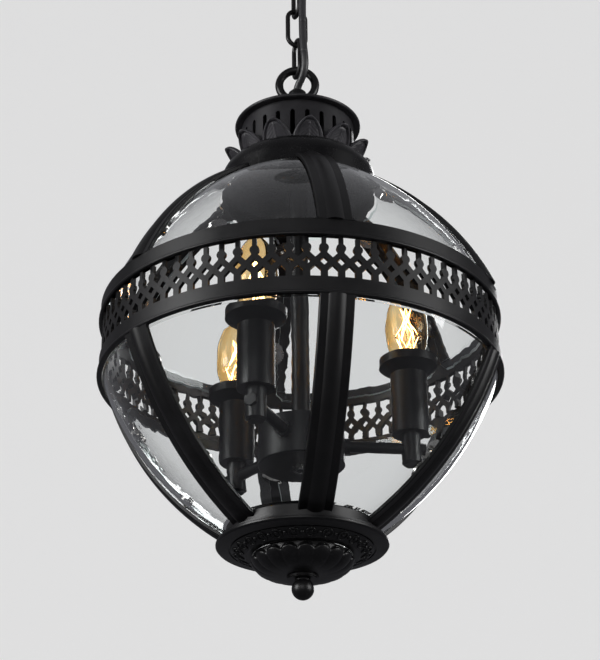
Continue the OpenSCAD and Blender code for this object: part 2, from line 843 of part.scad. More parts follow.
module glass_screws() {
    shank = glass_back + washer_back + washer_t;
    head_h = head_d * 0.35;
    color(nickel) in_lantern() at_clamps() translate([-shank, 0, 0]) rotate([0, 90, 0]) union() {
        cylinder(d = screw_d, h = shank - rib_t + screw_bite - fit);
        translate([0, 0, -head_h]) cylinder(d1 = head_d * 0.7, d2 = head_d, h = head_h);
    }
}

/* Bottom */

module lower_collar() {
    wall = 2;
    rim = 1.3;
    color(metal) in_lantern() translate([0, 0, z_base]) rotate_extrude() union() {
        translate([base_d / 2 - wall, 0]) square([wall, base_h - rim]);
        translate([base_d / 2 - rim, base_h - rim]) circle(rim, $fn = 32);
        translate([base_d / 2 - wall, -base_t]) square([tray_d / 2 - 1.6 - base_d / 2 + wall, base_t]);
    }
}

module bottom_bar() {
    bar_w = 12;
    bar_t = 4;
    color(metal) in_lantern() union() {
        intersection() {
            translate([-base_d, -bar_w / 2, z_base + 1]) cube([2 * base_d, bar_w, bar_t]);
            translate([0, 0, z_base]) cylinder(r = base_d / 2 - 2.1, h = 10);
        }
        translate([0, 0, z_bottom - 8]) cylinder(d = stud_d, h = z_base - z_bottom + 12);
    }
}

module tray() {
    lip = tray_d / 2;
    turn_r = bowl_d / 2 + 3;
    groove_r = lip - 10;
    shell = 1.8;
    color(metal) in_lantern() translate([0, 0, z_tray]) union() {
        rotate_extrude() polygon([
            [lip - 1, 0], [lip, -0.8], [lip, -2], [lip - 1.2, -3.4], [groove_r, -4.6], [groove_r, -3.8],
            [groove_r - 1.6, -3.8], [groove_r - 1.6, -4.8], [turn_r, -tray_h], [bowl_d / 2 - 2, -tray_h],
            [bowl_d / 2 - 2, -tray_h + shell], [turn_r - 0.4, -tray_h + shell],
            [groove_r - 2, -4.8 + shell], [groove_r + 1, -3.6 + shell], [lip - 3, -2], [lip - 3, 0]
        ]);
        for (i = [0 : tray_beads - 1]) at_azimuth(i * 360 / tray_beads)
            translate([(turn_r + groove_r - 1.6) / 2, 0, -(tray_h + 4.8) / 2 + 0.4])
                sphere(tray_bead_r, $fn = 24);
    }
}

// Outer face of the bowl at share t of its depth and angle a; the grooves between its lobes fade
// out towards the foot
function bowl_point(t, a) =
    let (foot = finial_washer_d / 2, r = foot + (bowl_d / 2 - foot) * cos(90 * t),
         groove = 1 - abs(sin(lobe_count * a / 2)),
         cut = lobe_depth * groove * pow(cos(90 * t), 2))
    [(r - cut) * cos(a), (r - cut) * sin(a), -bowl_h * sin(90 * t) + cut * t / 2];

module bowl() {
    around = lobe_count * 6;
    rows = 8;
    wall = 1.8 + lobe_depth;
    hollow_r = bowl_d / 2 - wall;
    points = concat(
        [for (j = [0 : rows], k = [0 : around - 1]) bowl_point(j / rows, 360 * k / around)],
        [[0, 0, 0], [0, 0, -bowl_h]]
    );
    top = len(points) - 2;
    faces = concat(
        [for (j = [0 : rows - 1], k = [0 : around - 1])
            let (n = (k + 1) % around, b = j * around, c = b + around)
            each [[b + k, b + n, c + n], [b + k, c + n, c + k]]],
        [for (k = [0 : around - 1])
            let (n = (k + 1) % around, c = rows * around)
            each [[top, n, k], [top + 1, c + k, c + n]]]
    );
    color(metal) in_lantern() translate([0, 0, z_bowl]) difference() {
        polyhedron(points, faces);
        translate([0, 0, -bowl_h + wall])
            cylinder(r1 = hollow_r * 0.62, r2 = hollow_r, h = bowl_h - wall + 1);
        translate([0, 0, -bowl_h - 1]) cylinder(d = stud_d + 2 * fit, h = bowl_h);
    }
}

module finial_washer() {
    color(metal) in_lantern() translate([0, 0, z_bottom - 2]) difference() {
        union() {
            cylinder(d = finial_washer_d - 2, h = 2);
            translate([0, 0, 0.5]) cylinder(d = finial_washer_d, h = 1.5);
        }
        translate([0, 0, -1]) cylinder(d = stud_d + 2 * fit, h = 4);
    }
}

module finial() {
    sunk = 1.3;
    top = z_bottom - 2 - hang_gap;
    color(metal) in_lantern() difference() {
        union() {
            translate([0, 0, top - 1.2]) cylinder(r = stud_d / 2 + 3, h = 1.2);
            translate([0, 0, top + sunk - ball_d / 2]) sphere(d = ball_d);
        }
        translate([0, 0, top]) cylinder(d = ball_d, h = 4);
        translate([0, 0, z_bottom - 8 - 0.5]) cylinder(d = stud_d + slip, h = 10);
    }
}

/* Lamps */

module centre_rod() {
    reach = z_cap + lock_h + 4 - z_plate;
    low = hub_h + hub_cover_h + 3;
    color(metal) in_lantern() difference() {
        union() {
            translate([0, 0, z_hub]) cylinder(d = rod_d, h = rod_l);
            translate([0, 0, z_plate - 1]) cylinder(d = tube_d, h = reach + 1);
            translate([0, 0, z_hub - low]) cylinder(d = 8, h = low + 1);
        }
        translate([0, 0, z_hub - 6]) cylinder(d = wire_way_d, h = rod_l + reach + 20);
    }
}

module hub_drum() {
    color(metal) in_lantern() translate([0, 0, hub_bottom]) difference() {
        cylinder(d = hub_d, h = hub_h);
        translate([0, 0, -1]) cylinder(d = hub_d - 4, h = hub_h - 1);
        translate([0, 0, -1]) cylinder(d = 8 + 2 * slip, h = hub_h + 2);
        for (i = [0 : lamp_count - 1]) at_azimuth(lamp_az + i * 360 / lamp_count)
            translate([hub_d / 2 - 6, 0, hub_h - arm_down]) rotate([0, 90, 0])
                cylinder(d = arm_d - 3, h = 12);
    }
}

module hub_cover() {
    color(metal) in_lantern() translate([0, 0, hub_bottom - hub_cover_h]) difference() {
        union() {
            cylinder(d1 = hub_d - 2, d2 = hub_d, h = 1);
            translate([0, 0, 1]) cylinder(d = hub_d, h = hub_cover_h - 1);
        }
        translate([0, 0, 2]) cylinder(d = hub_d - 4, h = hub_cover_h);
        translate([0, 0, -1]) cylinder(d = 8 + 2 * slip, h = hub_cover_h);
    }
}

module hub_nuts() {
    color(nickel) in_lantern() {
        translate([0, 0, z_hub - 2 - 4]) hex_nut(13, 8 + eps, 4);
        translate([0, 0, hub_bottom - hub_cover_h - 3.5]) hex_nut(13, 8 + eps, 3.5);
    }
}

module arms() {
    start = hub_d / 2;
    reach = lamp_r - start;
    color(metal) in_lantern() for (i = [0 : lamp_count - 1]) at_azimuth(lamp_az + i * 360 / lamp_count)
        difference() {
            union() {
                translate([start - 2, 0, z_arm]) rotate([0, 90, 0]) cylinder(d = arm_d, h = reach + 2);
                translate([start - 2, 0, z_arm]) rotate([0, 90, 0]) cylinder(d = arm_d + 3.6, h = 6);
            }
            translate([start - 3, 0, z_arm]) rotate([0, 90, 0]) cylinder(d = arm_d - 3, h = reach + 5);
            translate([0, 0, z_arm - 20]) cylinder(d = hub_d, h = 40);
            translate([lamp_r, 0, z_arm - 20]) cylinder(d = riser_d, h = 40);
        }
}

module at_lamps() {
    in_lantern() for (i = [0 : lamp_count - 1]) at_azimuth(lamp_az + i * 360 / lamp_count)
        translate([lamp_r, 0, 0]) children();
}

module risers() {
    color(metal) at_lamps() {
        difference() {
            union() {
                translate([0, 0, z_arm - riser_low + 2])
                    cylinder(d = riser_d, h = riser_up + riser_low - 2);
                translate([0, 0, z_arm - riser_low]) cylinder(d1 = riser_d - 4, d2 = riser_d, h = 2);
                translate([riser_d / 2 - 1, 0, z_arm]) rotate([0, 90, 0])
                    cylinder(d = 9 / cos(30), h = 4, $fn = 6);
            }
            translate([0, 0, z_arm]) cylinder(d = 6, h = riser_up + 1);
            translate([-riser_d / 2 - 1, 0, z_arm]) rotate([0, 90, 0])
                cylinder(d = arm_d - 3, h = riser_d / 2);
        }
    }
}

module candle_sleeves() {
    color(metal) at_lamps() translate([0, 0, z_sleeve]) difference() {
        cylinder(d = sleeve_d, h = sleeve_l);
        translate([0, 0, 1.5]) cylinder(d = sleeve_d - 2 * sleeve_wall, h = sleeve_l);
        translate([0, 0, -1]) cylinder(d = 6, h = 4);
    }
}

module drip_cups() {
    floor_t = 1.2;
    hole_r = holder_d / 2 + fit;
    color(metal) at_lamps() translate([0, 0, z_cup]) rotate_extrude() polygon([
        [hole_r, 0], [sleeve_d / 2, 0], [cup_d / 2, cup_h - cup_rim], [cup_d / 2, cup_h],
        [cup_d / 2 - sleeve_wall, cup_h], [cup_d / 2 - sleeve_wall, cup_h - cup_rim + 0.6],
        [sleeve_d / 2 - 0.6, floor_t], [hole_r, floor_t]
    ]);
}

module lampholders() {
    seat = z_sleeve + 1.5;
    color("#e4e0d6") at_lamps() difference() {
        union() {
            translate([0, 0, z_holder - holder_bore_l - 4])
                cylinder(d = holder_d, h = holder_bore_l + 4);
            translate([0, 0, seat]) cylinder(d = 10, h = z_holder - holder_bore_l - 4 - seat + eps);
        }
        translate([0, 0, z_holder - holder_bore_l])
            cylinder(d = cap_d + 2 * hang_gap, h = holder_bore_l + 1);
        translate([0, 0, seat - 1]) cylinder(d = 4, h = z_holder - holder_bore_l - 3 - seat);
    }
}

// Radius of a bulb at height z over its widest place, tip up and neck down
function bulb_r(z, tip, neck) =
    let (shrink = bulb_d / 2 - bulb_neck_r,
         over = (bulb_d * bulb_d / 4 + tip * tip) / bulb_d,
         under = (shrink * shrink + neck * neck) / (2 * shrink),
         bend = z > 0 ? over : under)
    bulb_d / 2 - bend + sqrt(bend * bend - z * z);

module bulb_glass(i) {
    neck = z_wide - z_bulb_neck;
    tip = bulb_l - neck;
    inner_tip = tip - 2 * bulb_wall;
    steps = 20;
    outer = [for (j = [0 : steps - 1]) let (z = -neck + bulb_l * j / steps) [bulb_r(z, tip, neck), z]];
    inner = [for (j = [steps - 1 : -1 : 0]) let (z = -neck + (inner_tip + neck) * j / steps)
        [bulb_r(z, inner_tip, neck) - bulb_wall * (j < steps - 1 ? 1 : 0.6), z]];
    color(amber) in_lantern() at_azimuth(lamp_az + i * 360 / lamp_count)
        translate([lamp_r, 0, z_wide]) rotate_extrude()
            polygon(concat(outer, [[0, tip], [0, inner_tip]], inner));
}

module bulb_cap(i) {
    color("#b08d4a") in_lantern() at_azimuth(lamp_az + i * 360 / lamp_count) translate([lamp_r, 0, 0]) {
        translate([0, 0, z_holder - holder_bore_l + hang_gap])
            cylinder(d1 = cap_d - 5, d2 = cap_d, h = 3);
        translate([0, 0, z_holder - holder_bore_l + hang_gap + 3 - eps])
            cylinder(d = cap_d, h = z_bulb_neck - z_holder + holder_bore_l - hang_gap - 3 + eps);
        translate([0, 0, z_holder + 0.5]) cylinder(r = bulb_neck_r + 0.4, h = z_bulb_neck - z_holder - 0.5);
    }
}

module bulb_glass_1() { bulb_glass(0); }
module bulb_glass_2() { bulb_glass(1); }
module bulb_glass_3() { bulb_glass(2); }
module bulb_cap_1() { bulb_cap(0); }
module bulb_cap_2() { bulb_cap(1); }
module bulb_cap_3() { bulb_cap(2); }

ceiling_bracket();
ceiling_rose();
rose_nipple();
rose_collar();
rose_loop();
rose_gland();
terminal_block();
flex();
chain_link_1();
chain_link_2();
chain_link_3();
suspension_loop();
loop_collar();
cord_gland();
top_flange();
slotted_collar();
leaf_crown();
shoulder_dome();
upper_rib_1();
upper_rib_2();
upper_rib_3();
upper_rib_4();
upper_rib_5();
upper_rib_6();
upper_ring();
fretwork_band();
lower_ring();
lower_rib_1();
lower_rib_2();
lower_rib_3();
lower_rib_4();
lower_rib_5();
lower_rib_6();
upper_glass();
lower_glass();
glass_washers();
glass_screws();
lower_collar();
bottom_bar();
tray();
bowl();
finial_washer();
finial();
centre_rod();
hub_drum();
hub_cover();
hub_nuts();
arms();
risers();
candle_sleeves();
drip_cups();
lampholders();
bulb_glass_1();
bulb_glass_2();
bulb_glass_3();
bulb_cap_1();
bulb_cap_2();
bulb_cap_3();
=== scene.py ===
"""Globe lantern pendant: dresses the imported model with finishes, glass, filaments and cast detail.

Lengths are metres in the model's own frame: +Z up, origin at the ceiling, -Y to the viewer.
"""
import json
import math

import bpy
import numpy as np
from mathutils import Matrix, Vector


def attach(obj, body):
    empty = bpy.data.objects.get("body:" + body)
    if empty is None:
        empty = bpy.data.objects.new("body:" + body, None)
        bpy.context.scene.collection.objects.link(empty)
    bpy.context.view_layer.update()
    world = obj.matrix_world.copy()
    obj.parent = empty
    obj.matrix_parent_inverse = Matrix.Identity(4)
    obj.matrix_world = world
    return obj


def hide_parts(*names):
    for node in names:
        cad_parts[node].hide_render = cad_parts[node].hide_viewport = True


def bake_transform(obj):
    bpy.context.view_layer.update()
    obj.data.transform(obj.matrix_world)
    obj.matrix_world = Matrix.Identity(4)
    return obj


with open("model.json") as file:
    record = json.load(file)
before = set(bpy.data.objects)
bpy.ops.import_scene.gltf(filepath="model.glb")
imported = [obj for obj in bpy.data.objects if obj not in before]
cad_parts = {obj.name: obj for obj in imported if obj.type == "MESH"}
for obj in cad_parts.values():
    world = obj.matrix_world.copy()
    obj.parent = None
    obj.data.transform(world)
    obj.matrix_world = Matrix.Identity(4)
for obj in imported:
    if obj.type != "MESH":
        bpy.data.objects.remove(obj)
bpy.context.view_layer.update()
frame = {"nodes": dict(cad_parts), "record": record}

bl_info = {
    "name": "Globe Lantern Pendant",
    "version": (1, 0, 0),
    "blender": (4, 5, 0),
    "location": "View3D > Sidebar > Lantern",
    "description": "Finishes and fine pieces of a ribbed globe lantern on a short chain",
    "category": "Object",
}

MM = 0.001

# Azimuths of the three candle lamps and of the front rib, in degrees from -Y towards +X
LAMP_AZIMUTHS = (-22.3, 97.7, 217.7)
RIB_AZIMUTH = 9.85
# Distance of the candle lamps from the middle
LAMP_REACH = 87.5 * MM

# Heights that pieces are built from: the leaf crown's foot, the bulbs' widest place, the tray's
# upper face and the bowl's rim
CROWN_FOOT_Z = -287.8 * MM
BULB_WIDEST_Z = -436.8 * MM
TRAY_TOP_Z = -620.9 * MM
BOWL_RIM_Z = -630.7 * MM

# Centres (r, z) of the arcs that the upper and the lower panes are bent to
UPPER_ARC = (-66.31 * MM, -519.66 * MM)
LOWER_ARC = (-85.75 * MM, -393.61 * MM)

# Route of the flex from the lantern's gland to the rose's gland
FLEX_ROUTE = np.array([
    (0, 0, -210.5), (0, 0, -208.3), (1.4, -2.2, -205), (3.6, -5.4, -201.6), (5.6, -8.9, -197.4),
    (6.7, -12, -191), (6.5, -13.4, -183), (5.7, -13.3, -172), (5.2, -13.1, -160),
    (5.1, -13.1, -148), (5.1, -13.1, -136), (5.3, -13.2, -124), (5.9, -13.4, -112),
    (6.3, -12.9, -103.5), (5.4, -10.2, -95), (2.8, -5.5, -89), (1, -1.8, -84.5), (0, 0, -82),
    (0, 0, -80.3),
]) * MM


# Surfaces


def grid_faces(rows, cols, close_rows=False, close_cols=False):
    """Quads of a grid of points numbered row by row; either way of the grid may be closed."""
    r = np.arange(rows if close_rows else rows - 1)
    c = np.arange(cols if close_cols else cols - 1)
    i, j = np.meshgrid(r, c, indexing="ij")
    i1, j1 = (i + 1) % rows, (j + 1) % cols
    quads = np.stack([i * cols + j, i * cols + j1, i1 * cols + j1, i1 * cols + j], axis=-1)
    return quads.reshape(-1, 4)


def cap_fan(ring, centre, flip):
    """Triangles from a closed ring of point numbers to one centre point."""
    nxt = np.roll(ring, -1)
    mid = np.full_like(ring, centre)
    tri = np.stack([ring, nxt, mid], axis=-1)
    return tri[:, ::-1] if flip else tri


def make_piece(name, points, faces, material):
    """Puts points (n, 3) and lists of faces into a new smooth mesh object at the origin."""
    mesh = bpy.data.meshes.new(name)
    flat = [f for block in faces for f in np.asarray(block).tolist()]
    mesh.from_pydata(np.asarray(points).tolist(), [], flat)
    mesh.update()
    mesh.polygons.foreach_set("use_smooth", [True] * len(mesh.polygons))
    mesh.materials.append(material)
    piece = bpy.data.objects.new(name, mesh)
    bpy.context.scene.collection.objects.link(piece)
    return piece


def join_parts(parts):
    """Joins (points, faces) parts into one pair, with each part's faces renumbered."""
    points, faces, base = [], [], 0
    for pts, blocks in parts:
        points.append(pts)
        faces.extend(np.asarray(b) + base for b in blocks)
        base += len(pts)
    return np.concatenate(points), faces


def turned(profile, sides, wave=None):
    """A closed profile (r, z) turned about Z: point (r cos a, r sin a, z).

    wave, if given, takes the grids of profile index and angle and returns the grids of r and z.
    The profile runs so that the faces look outwards: down the outside, up the inside.
    """
    profile = np.asarray(profile, float)
    a = np.linspace(0, 2 * np.pi, sides, endpoint=False)
    k, aa = np.meshgrid(np.arange(len(profile)), a, indexing="ij")
    r = np.repeat(profile[:, :1], sides, axis=1)
    z = np.repeat(profile[:, 1:], sides, axis=1)
    if wave is not None:
        r, z = wave(k, aa, r, z)
    pts = np.stack([r * np.cos(aa), r * np.sin(aa), z], axis=-1).reshape(-1, 3)
    return pts, [grid_faces(len(profile), sides, True, True)[:, ::-1]]


def smooth_path(points, count):
    """Points evenly spread along a Catmull-Rom curve through the given points.

    Between p1 and p2 it is 0.5 (2 p1 + (p2 - p0) t + (2 p0 - 5 p1 + 4 p2 - p3) t^2
    + (3 p1 - p0 - 3 p2 + p3) t^3), with the ends carried on in a straight line.
    """
    p = np.asarray(points, float)
    p = np.vstack([2 * p[0] - p[1], p, 2 * p[-1] - p[-2]])
    t = np.linspace(0, 1, 24, endpoint=False)[None, :, None]
    p0, p1, p2, p3 = (p[i:len(p) - 3 + i, None, :] for i in range(4))
    curve = 0.5 * (2 * p1 + (p2 - p0) * t + (2 * p0 - 5 * p1 + 4 * p2 - p3) * t ** 2
                   + (3 * p1 - p0 - 3 * p2 + p3) * t ** 3)
    curve = np.vstack([curve.reshape(-1, 3), p[-2:-1]])
    step = np.linalg.norm(np.diff(curve, axis=0), axis=1)
    run = np.concatenate([[0], np.cumsum(step)])
    want = np.linspace(0, run[-1], count)
    return np.stack([np.interp(want, run, curve[:, i]) for i in range(3)], axis=-1)


def swept(path, radius, sides, side_hint=(0, 1, 0)):
    """A tube along a path: point p + radius (cos a u + sin a v), u and v square to the path.

    u is the hint crossed with the direction, so the tube doesn't twist where the hint stays clear
    of the path. Both ends are closed with a fan.
    """
    path = np.asarray(path, float)
    t = np.gradient(path, axis=0)
    t /= np.linalg.norm(t, axis=1, keepdims=True)
    u = np.cross(np.asarray(side_hint, float)[None, :], t)
    u /= np.linalg.norm(u, axis=1, keepdims=True)
    v = np.cross(t, u)
    a = np.linspace(0, 2 * np.pi, sides, endpoint=False)
    r = np.broadcast_to(np.asarray(radius, float).reshape(-1, 1, 1), (len(path), 1, 1))
    ring = np.cos(a)[None, :, None] * u[:, None, :] + np.sin(a)[None, :, None] * v[:, None, :]
    pts = (path[:, None, :] + r * ring).reshape(-1, 3)
    pts = np.vstack([pts, path[0], path[-1]])
    first, last = np.arange(sides), (len(path) - 1) * sides + np.arange(sides)
    return pts, [grid_faces(len(path), sides, False, True),
                 cap_fan(first, len(pts) - 2, True), cap_fan(last, len(pts) - 1, False)]


def turn_about_z(pts, degrees):
    """Points turned by an azimuth that counts from -Y towards +X; what lies along +X goes there."""
    a = math.radians(degrees - 90)
    c, s = math.cos(a), math.sin(a)
    return pts @ np.array([[c, s, 0], [-s, c, 0], [0, 0, 1]])


def lamp_place(i):
    """Centre line of lamp i on the ground plan."""
    a = math.radians(LAMP_AZIMUTHS[i])
    return np.array([LAMP_REACH * math.sin(a), -LAMP_REACH * math.cos(a), 0])


# Shader writing


class Wire:
    """An output socket; sums, products and powers of it add Math nodes."""

    def __init__(self, pen, socket):
        self.pen, self.socket = pen, socket

    def __add__(self, other):
        return self.pen.math("ADD", self, other)

    def __sub__(self, other):
        return self.pen.math("SUBTRACT", self, other)

    def __rsub__(self, other):
        return self.pen.math("SUBTRACT", other, self)

    def __mul__(self, other):
        return self.pen.math("MULTIPLY", self, other)

    def __pow__(self, other):
        return self.pen.math("POWER", self, other)

    __radd__ = __add__
    __rmul__ = __mul__


class Pen:
    """Writes the nodes of a new material, or of the world where that is given."""

    def __init__(self, name, world=None):
        self.owner = world or bpy.data.materials.new(name)
        self.owner.use_nodes = True
        self.tree = self.owner.node_tree
        self.shader = self.tree.nodes["Background" if world else "Principled BSDF"]
        self.output = self.tree.nodes["World Output" if world else "Material Output"]

    def node(self, kind, settings=None, out=0, **inputs):
        """Adds a node: its settings first, then its sockets by name (spaces as _) or by in0, in1."""
        node = self.tree.nodes.new(kind)
        for key, value in (settings or {}).items():
            setattr(node, key, value)
        for key, value in inputs.items():
            number = key[2:] if key.startswith("in") and key[2:].isdigit() else None
            socket = node.inputs[int(number)] if number else node.inputs[key.replace("_", " ")]
            self.feed(socket, value)
        return Wire(self, node.outputs[out])

    def wires(self, kind, *names, **inputs):
        """Adds a node and gives a wire from each of the outputs named."""
        outputs = self.node(kind, **inputs).socket.node.outputs
        return [Wire(self, outputs[name]) for name in names]

    def feed(self, socket, value):
        """Links a wire to a socket, or sets a plain value on it."""
        if isinstance(value, Wire):
            self.tree.links.new(value.socket, socket)
        else:
            socket.default_value = value

    def math(self, operation, a, b=0.0):
        """A Math node on wires or numbers."""
        return self.node("ShaderNodeMath", {"operation": operation}, in0=a, in1=b)

    def mix(self, share, a, b):
        """Colour a going over to colour b with share."""
        return self.node("ShaderNodeMix", {"data_type": "RGBA", "clamp_factor": True}, out=2,
                         in0=share, in6=a, in7=b)

    def ramp(self, value, low, high):
        """0 under low to 1 over high, eased."""
        return self.node("ShaderNodeMapRange", {"interpolation_type": "SMOOTHSTEP"},
                         Value=value, From_Min=low, From_Max=high)

    def place(self):
        """Object coordinates, in metres."""
        return self.node("ShaderNodeTexCoord", out=3)

    def noise(self, scale, detail=2.0, rough=0.5, stretch=None):
        """Noise of a scale per metre, on object coordinates."""
        where = self.place()
        if stretch:
            where = self.node("ShaderNodeMapping", Vector=where, Scale=stretch)
        return self.node("ShaderNodeTexNoise", Vector=where, Scale=scale, Detail=detail,
                         Roughness=rough)

    def bump(self, height, strength, distance):
        """Normal tilted by a height that stands for a distance in metres."""
        return self.node("ShaderNodeBump", Strength=strength, Distance=distance, Height=height)

    def principled(self, **values):
        """Feeds the main shader's sockets by name (spaces as _) and gives what owns the nodes."""
        for key, value in values.items():
            self.feed(self.shader.inputs[key.replace("_", " ")], value)
        return self.owner

    def lay_over(self, share, shader):
        """Lays another shader over the present surface with share."""
        surface = self.output.inputs["Surface"]
        below = Wire(self, surface.links[0].from_socket)
        self.feed(surface, self.node("ShaderNodeMixShader", in0=share, in1=below, in2=shader))

    def lets_light_through(self, tint):
        """Light of the lamps and the room passes straight on with a tint, so what is inside is lit.

        Bent rays count as glossy too where the glass is a little rough, so only glossy rays that
        aren't transmitted ones pass like this.
        """
        shadow, diffuse, glossy, bent = self.wires(
            "ShaderNodeLightPath", "Is Shadow Ray", "Is Diffuse Ray", "Is Glossy Ray",
            "Is Transmission Ray")
        passes = self.math("MAXIMUM", self.math("MAXIMUM", shadow, diffuse), glossy - bent)
        self.lay_over(passes, self.node("ShaderNodeBsdfTransparent", Color=tint))
        return self.owner


def painted_metal(name, tone, roughness, grain):
    """Satin black paint: a tone that drifts a little, fine orange peel, and rubbed dull patches."""
    pen = Pen(name)
    drift = pen.ramp(pen.noise(28, 3, 0.6), 0.35, 0.68)
    dust = pen.ramp(pen.noise(420, 4, 0.7), 0.56, 0.72)
    deep = tuple(0.62 * c for c in tone)
    pale = tuple(1.75 * c for c in tone)
    colour = pen.mix(drift, (*deep, 1), (*tone, 1))
    colour = pen.mix(dust * 0.35, colour, (*pale, 1))
    rough = roughness + 0.08 * drift + 0.10 * dust
    peel = pen.noise(1500, 2, 0.5)
    return pen.principled(
        Base_Color=colour, Roughness=rough, Metallic=0.0, IOR=1.5, Coat_Weight=0.0,
        Specular_IOR_Level=0.3,
        Normal=pen.bump(peel + 0.5 * drift, 0.12 * grain, 0.0002))


def plated_metal(name, tone):
    """Nickel plate with fine turning marks and a faint cloud of tarnish."""
    pen = Pen(name)
    cloud = pen.ramp(pen.noise(160, 3, 0.6), 0.4, 0.7)
    colour = pen.mix(cloud, (*tone, 1), (*(0.72 * c for c in tone), 1))
    return pen.principled(Base_Color=colour, Metallic=1.0, Roughness=0.16 + 0.16 * cloud,
                          Normal=pen.bump(pen.noise(3000, 2), 0.05, 0.0001))


def moulded_plastic(name, tone, roughness):
    """Moulded plastic with a fine matt grain and a slight drift of tone."""
    pen = Pen(name)
    drift = pen.noise(60, 3, 0.6)
    colour = pen.mix(drift, (*(0.8 * c for c in tone), 1), (*(min(1, 1.15 * c) for c in tone), 1))
    return pen.principled(Base_Color=colour, Roughness=roughness + 0.12 * drift,
                          Normal=pen.bump(pen.noise(2200, 2), 0.08, 0.0001))


def bent_glass(name, arc_r, arc_z):
    """Clear pane glass with a slight wave from bending, a film of dust and ground edges.

    A pane's two faces are arcs about the point (arc_r, arc_z), turned about Z. With q the direction
    from there to the surface, a face's normal lies along q and an edge's normal across it.
    """
    pen = Pen(name)
    wave = pen.noise(9, 1, 0.3)
    film = pen.ramp(pen.noise(55, 4, 0.7), 0.5, 0.8)
    x, y, z = pen.wires("ShaderNodeSeparateXYZ", "X", "Y", "Z", Vector=pen.place())
    spread = 1 - arc_r * (x * x + y * y) ** -0.5
    q = pen.node("ShaderNodeCombineXYZ", X=x * spread, Y=y * spread, Z=z - arc_z)
    q = pen.node("ShaderNodeVectorMath", {"operation": "NORMALIZE"}, in0=q)
    normal = pen.node("ShaderNodeTexCoord", out=1)
    along = pen.node("ShaderNodeVectorMath", {"operation": "DOT_PRODUCT"}, out=1, in0=q, in1=normal)
    edge = 1 - pen.ramp(pen.math("ABSOLUTE", along), 0.55, 0.85)
    colour = pen.mix(edge, (0.975, 0.985, 0.985, 1), (0.60, 0.70, 0.68, 1))
    pen.principled(Base_Color=colour, Transmission_Weight=1.0, IOR=1.46,
                   Roughness=0.004 + 0.012 * film + 0.4 * edge, Normal=pen.bump(wave, 0.04, 0.002))
    return pen.lets_light_through((0.96, 0.97, 0.97, 1))


def amber_glass(name, tone):
    """Bulb glass with an amber lustre, deeper in cloudy streaks."""
    pen = Pen(name)
    cloud = pen.ramp(pen.noise(70, 3, 0.5, (1, 1, 0.4)), 0.35, 0.7)
    deep = tuple(c * k for c, k in zip(tone, (0.94, 0.8, 0.55)))
    colour = pen.mix(cloud, (*tone, 1), (*deep, 1))
    pen.principled(Base_Color=colour, Transmission_Weight=1.0, IOR=1.3,
                   Roughness=0.01 + 0.01 * cloud)
    return pen.lets_light_through((*tone, 1))


def glowing_wire(name, tone, strength):
    """Filament wire, its glow hotter and cooler in patches that follow a noise."""
    pen = Pen(name)
    heat = pen.ramp(pen.noise(260, 2, 0.5), 0.3, 0.7)
    cool = (tone[0], tone[1] * 0.72, tone[2] * 0.45)
    return pen.principled(Base_Color=(0.9, 0.6, 0.3, 1),
                          Emission_Color=pen.mix(heat, (*cool, 1), (*tone, 1)),
                          Emission_Strength=strength, Roughness=0.4)


def plain_glass(name):
    """Glass of the stem inside a bulb."""
    pen = Pen(name)
    haze = pen.noise(300, 2)
    pen.principled(Base_Color=(0.96, 0.95, 0.9, 1), Transmission_Weight=1.0, IOR=1.4,
                   Roughness=0.02 + 0.05 * haze)
    return pen.lets_light_through((0.94, 0.92, 0.86, 1))


def sleeve_pvc(name, tone):
    """Black PVC of the flex: satin, with faint lengthwise drag marks."""
    pen = Pen(name)
    drag = pen.noise(900, 3, 0.6, (1, 1, 0.05))
    colour = pen.mix(drag, (*(0.7 * c for c in tone), 1), (*(1.3 * c for c in tone), 1))
    return pen.principled(Base_Color=colour, Roughness=0.34 + 0.14 * drag,
                          Normal=pen.bump(drag, 0.1, 0.0001))


# Sizes and colours


class LanternFinish(bpy.types.PropertyGroup):
    """Colours of the lantern's finishes."""
    paint: bpy.props.FloatVectorProperty(
        name="Paint", description="Colour of the satin black paint", subtype="COLOR",
        size=3, min=0, max=1, default=(0.0052, 0.0050, 0.0056))
    plate: bpy.props.FloatVectorProperty(
        name="Nickel", description="Colour of the plated screws and washers", subtype="COLOR",
        size=3, min=0, max=1, default=(0.72, 0.70, 0.67))
    amber: bpy.props.FloatVectorProperty(
        name="Amber glass", description="Colour of the bulb glass", subtype="COLOR",
        size=3, min=0, max=1, default=(1.0, 0.88, 0.66))
    glow: bpy.props.FloatVectorProperty(
        name="Filament glow", description="Colour of the glowing filament", subtype="COLOR",
        size=3, min=0, max=1, default=(1.0, 0.74, 0.38))
    glow_strength: bpy.props.FloatProperty(
        name="Glow strength", description="Brightness of the filament", default=16.0, min=0, max=60)


class LanternSizes(bpy.types.PropertyGroup):
    """Sizes of the fine pieces."""
    flex_radius: bpy.props.FloatProperty(
        name="Flex radius", description="Half the width of the flex", default=3.25 * MM,
        unit="LENGTH", min=0.002, max=0.004)
    bulb_radius: bpy.props.FloatProperty(
        name="Bulb radius", description="Half the width of a bulb", default=17.5 * MM,
        unit="LENGTH", min=0.016, max=0.019)
    bulb_length: bpy.props.FloatProperty(
        name="Bulb length", description="Height of a bulb's glass", default=63 * MM,
        unit="LENGTH", min=0.05, max=0.07)
    filament_radius: bpy.props.FloatProperty(
        name="Filament radius", description="Half the width of the filament", default=0.22 * MM,
        unit="LENGTH", min=0.0001, max=0.001)
    bowl_lobes: bpy.props.IntProperty(
        name="Bowl lobes", description="Number of lobes round the bowl", default=18, min=12, max=24)
    leaf_count: bpy.props.IntProperty(
        name="Leaves", description="Number of leaves in the crown", default=12, min=8, max=16)


# Stage and finishes

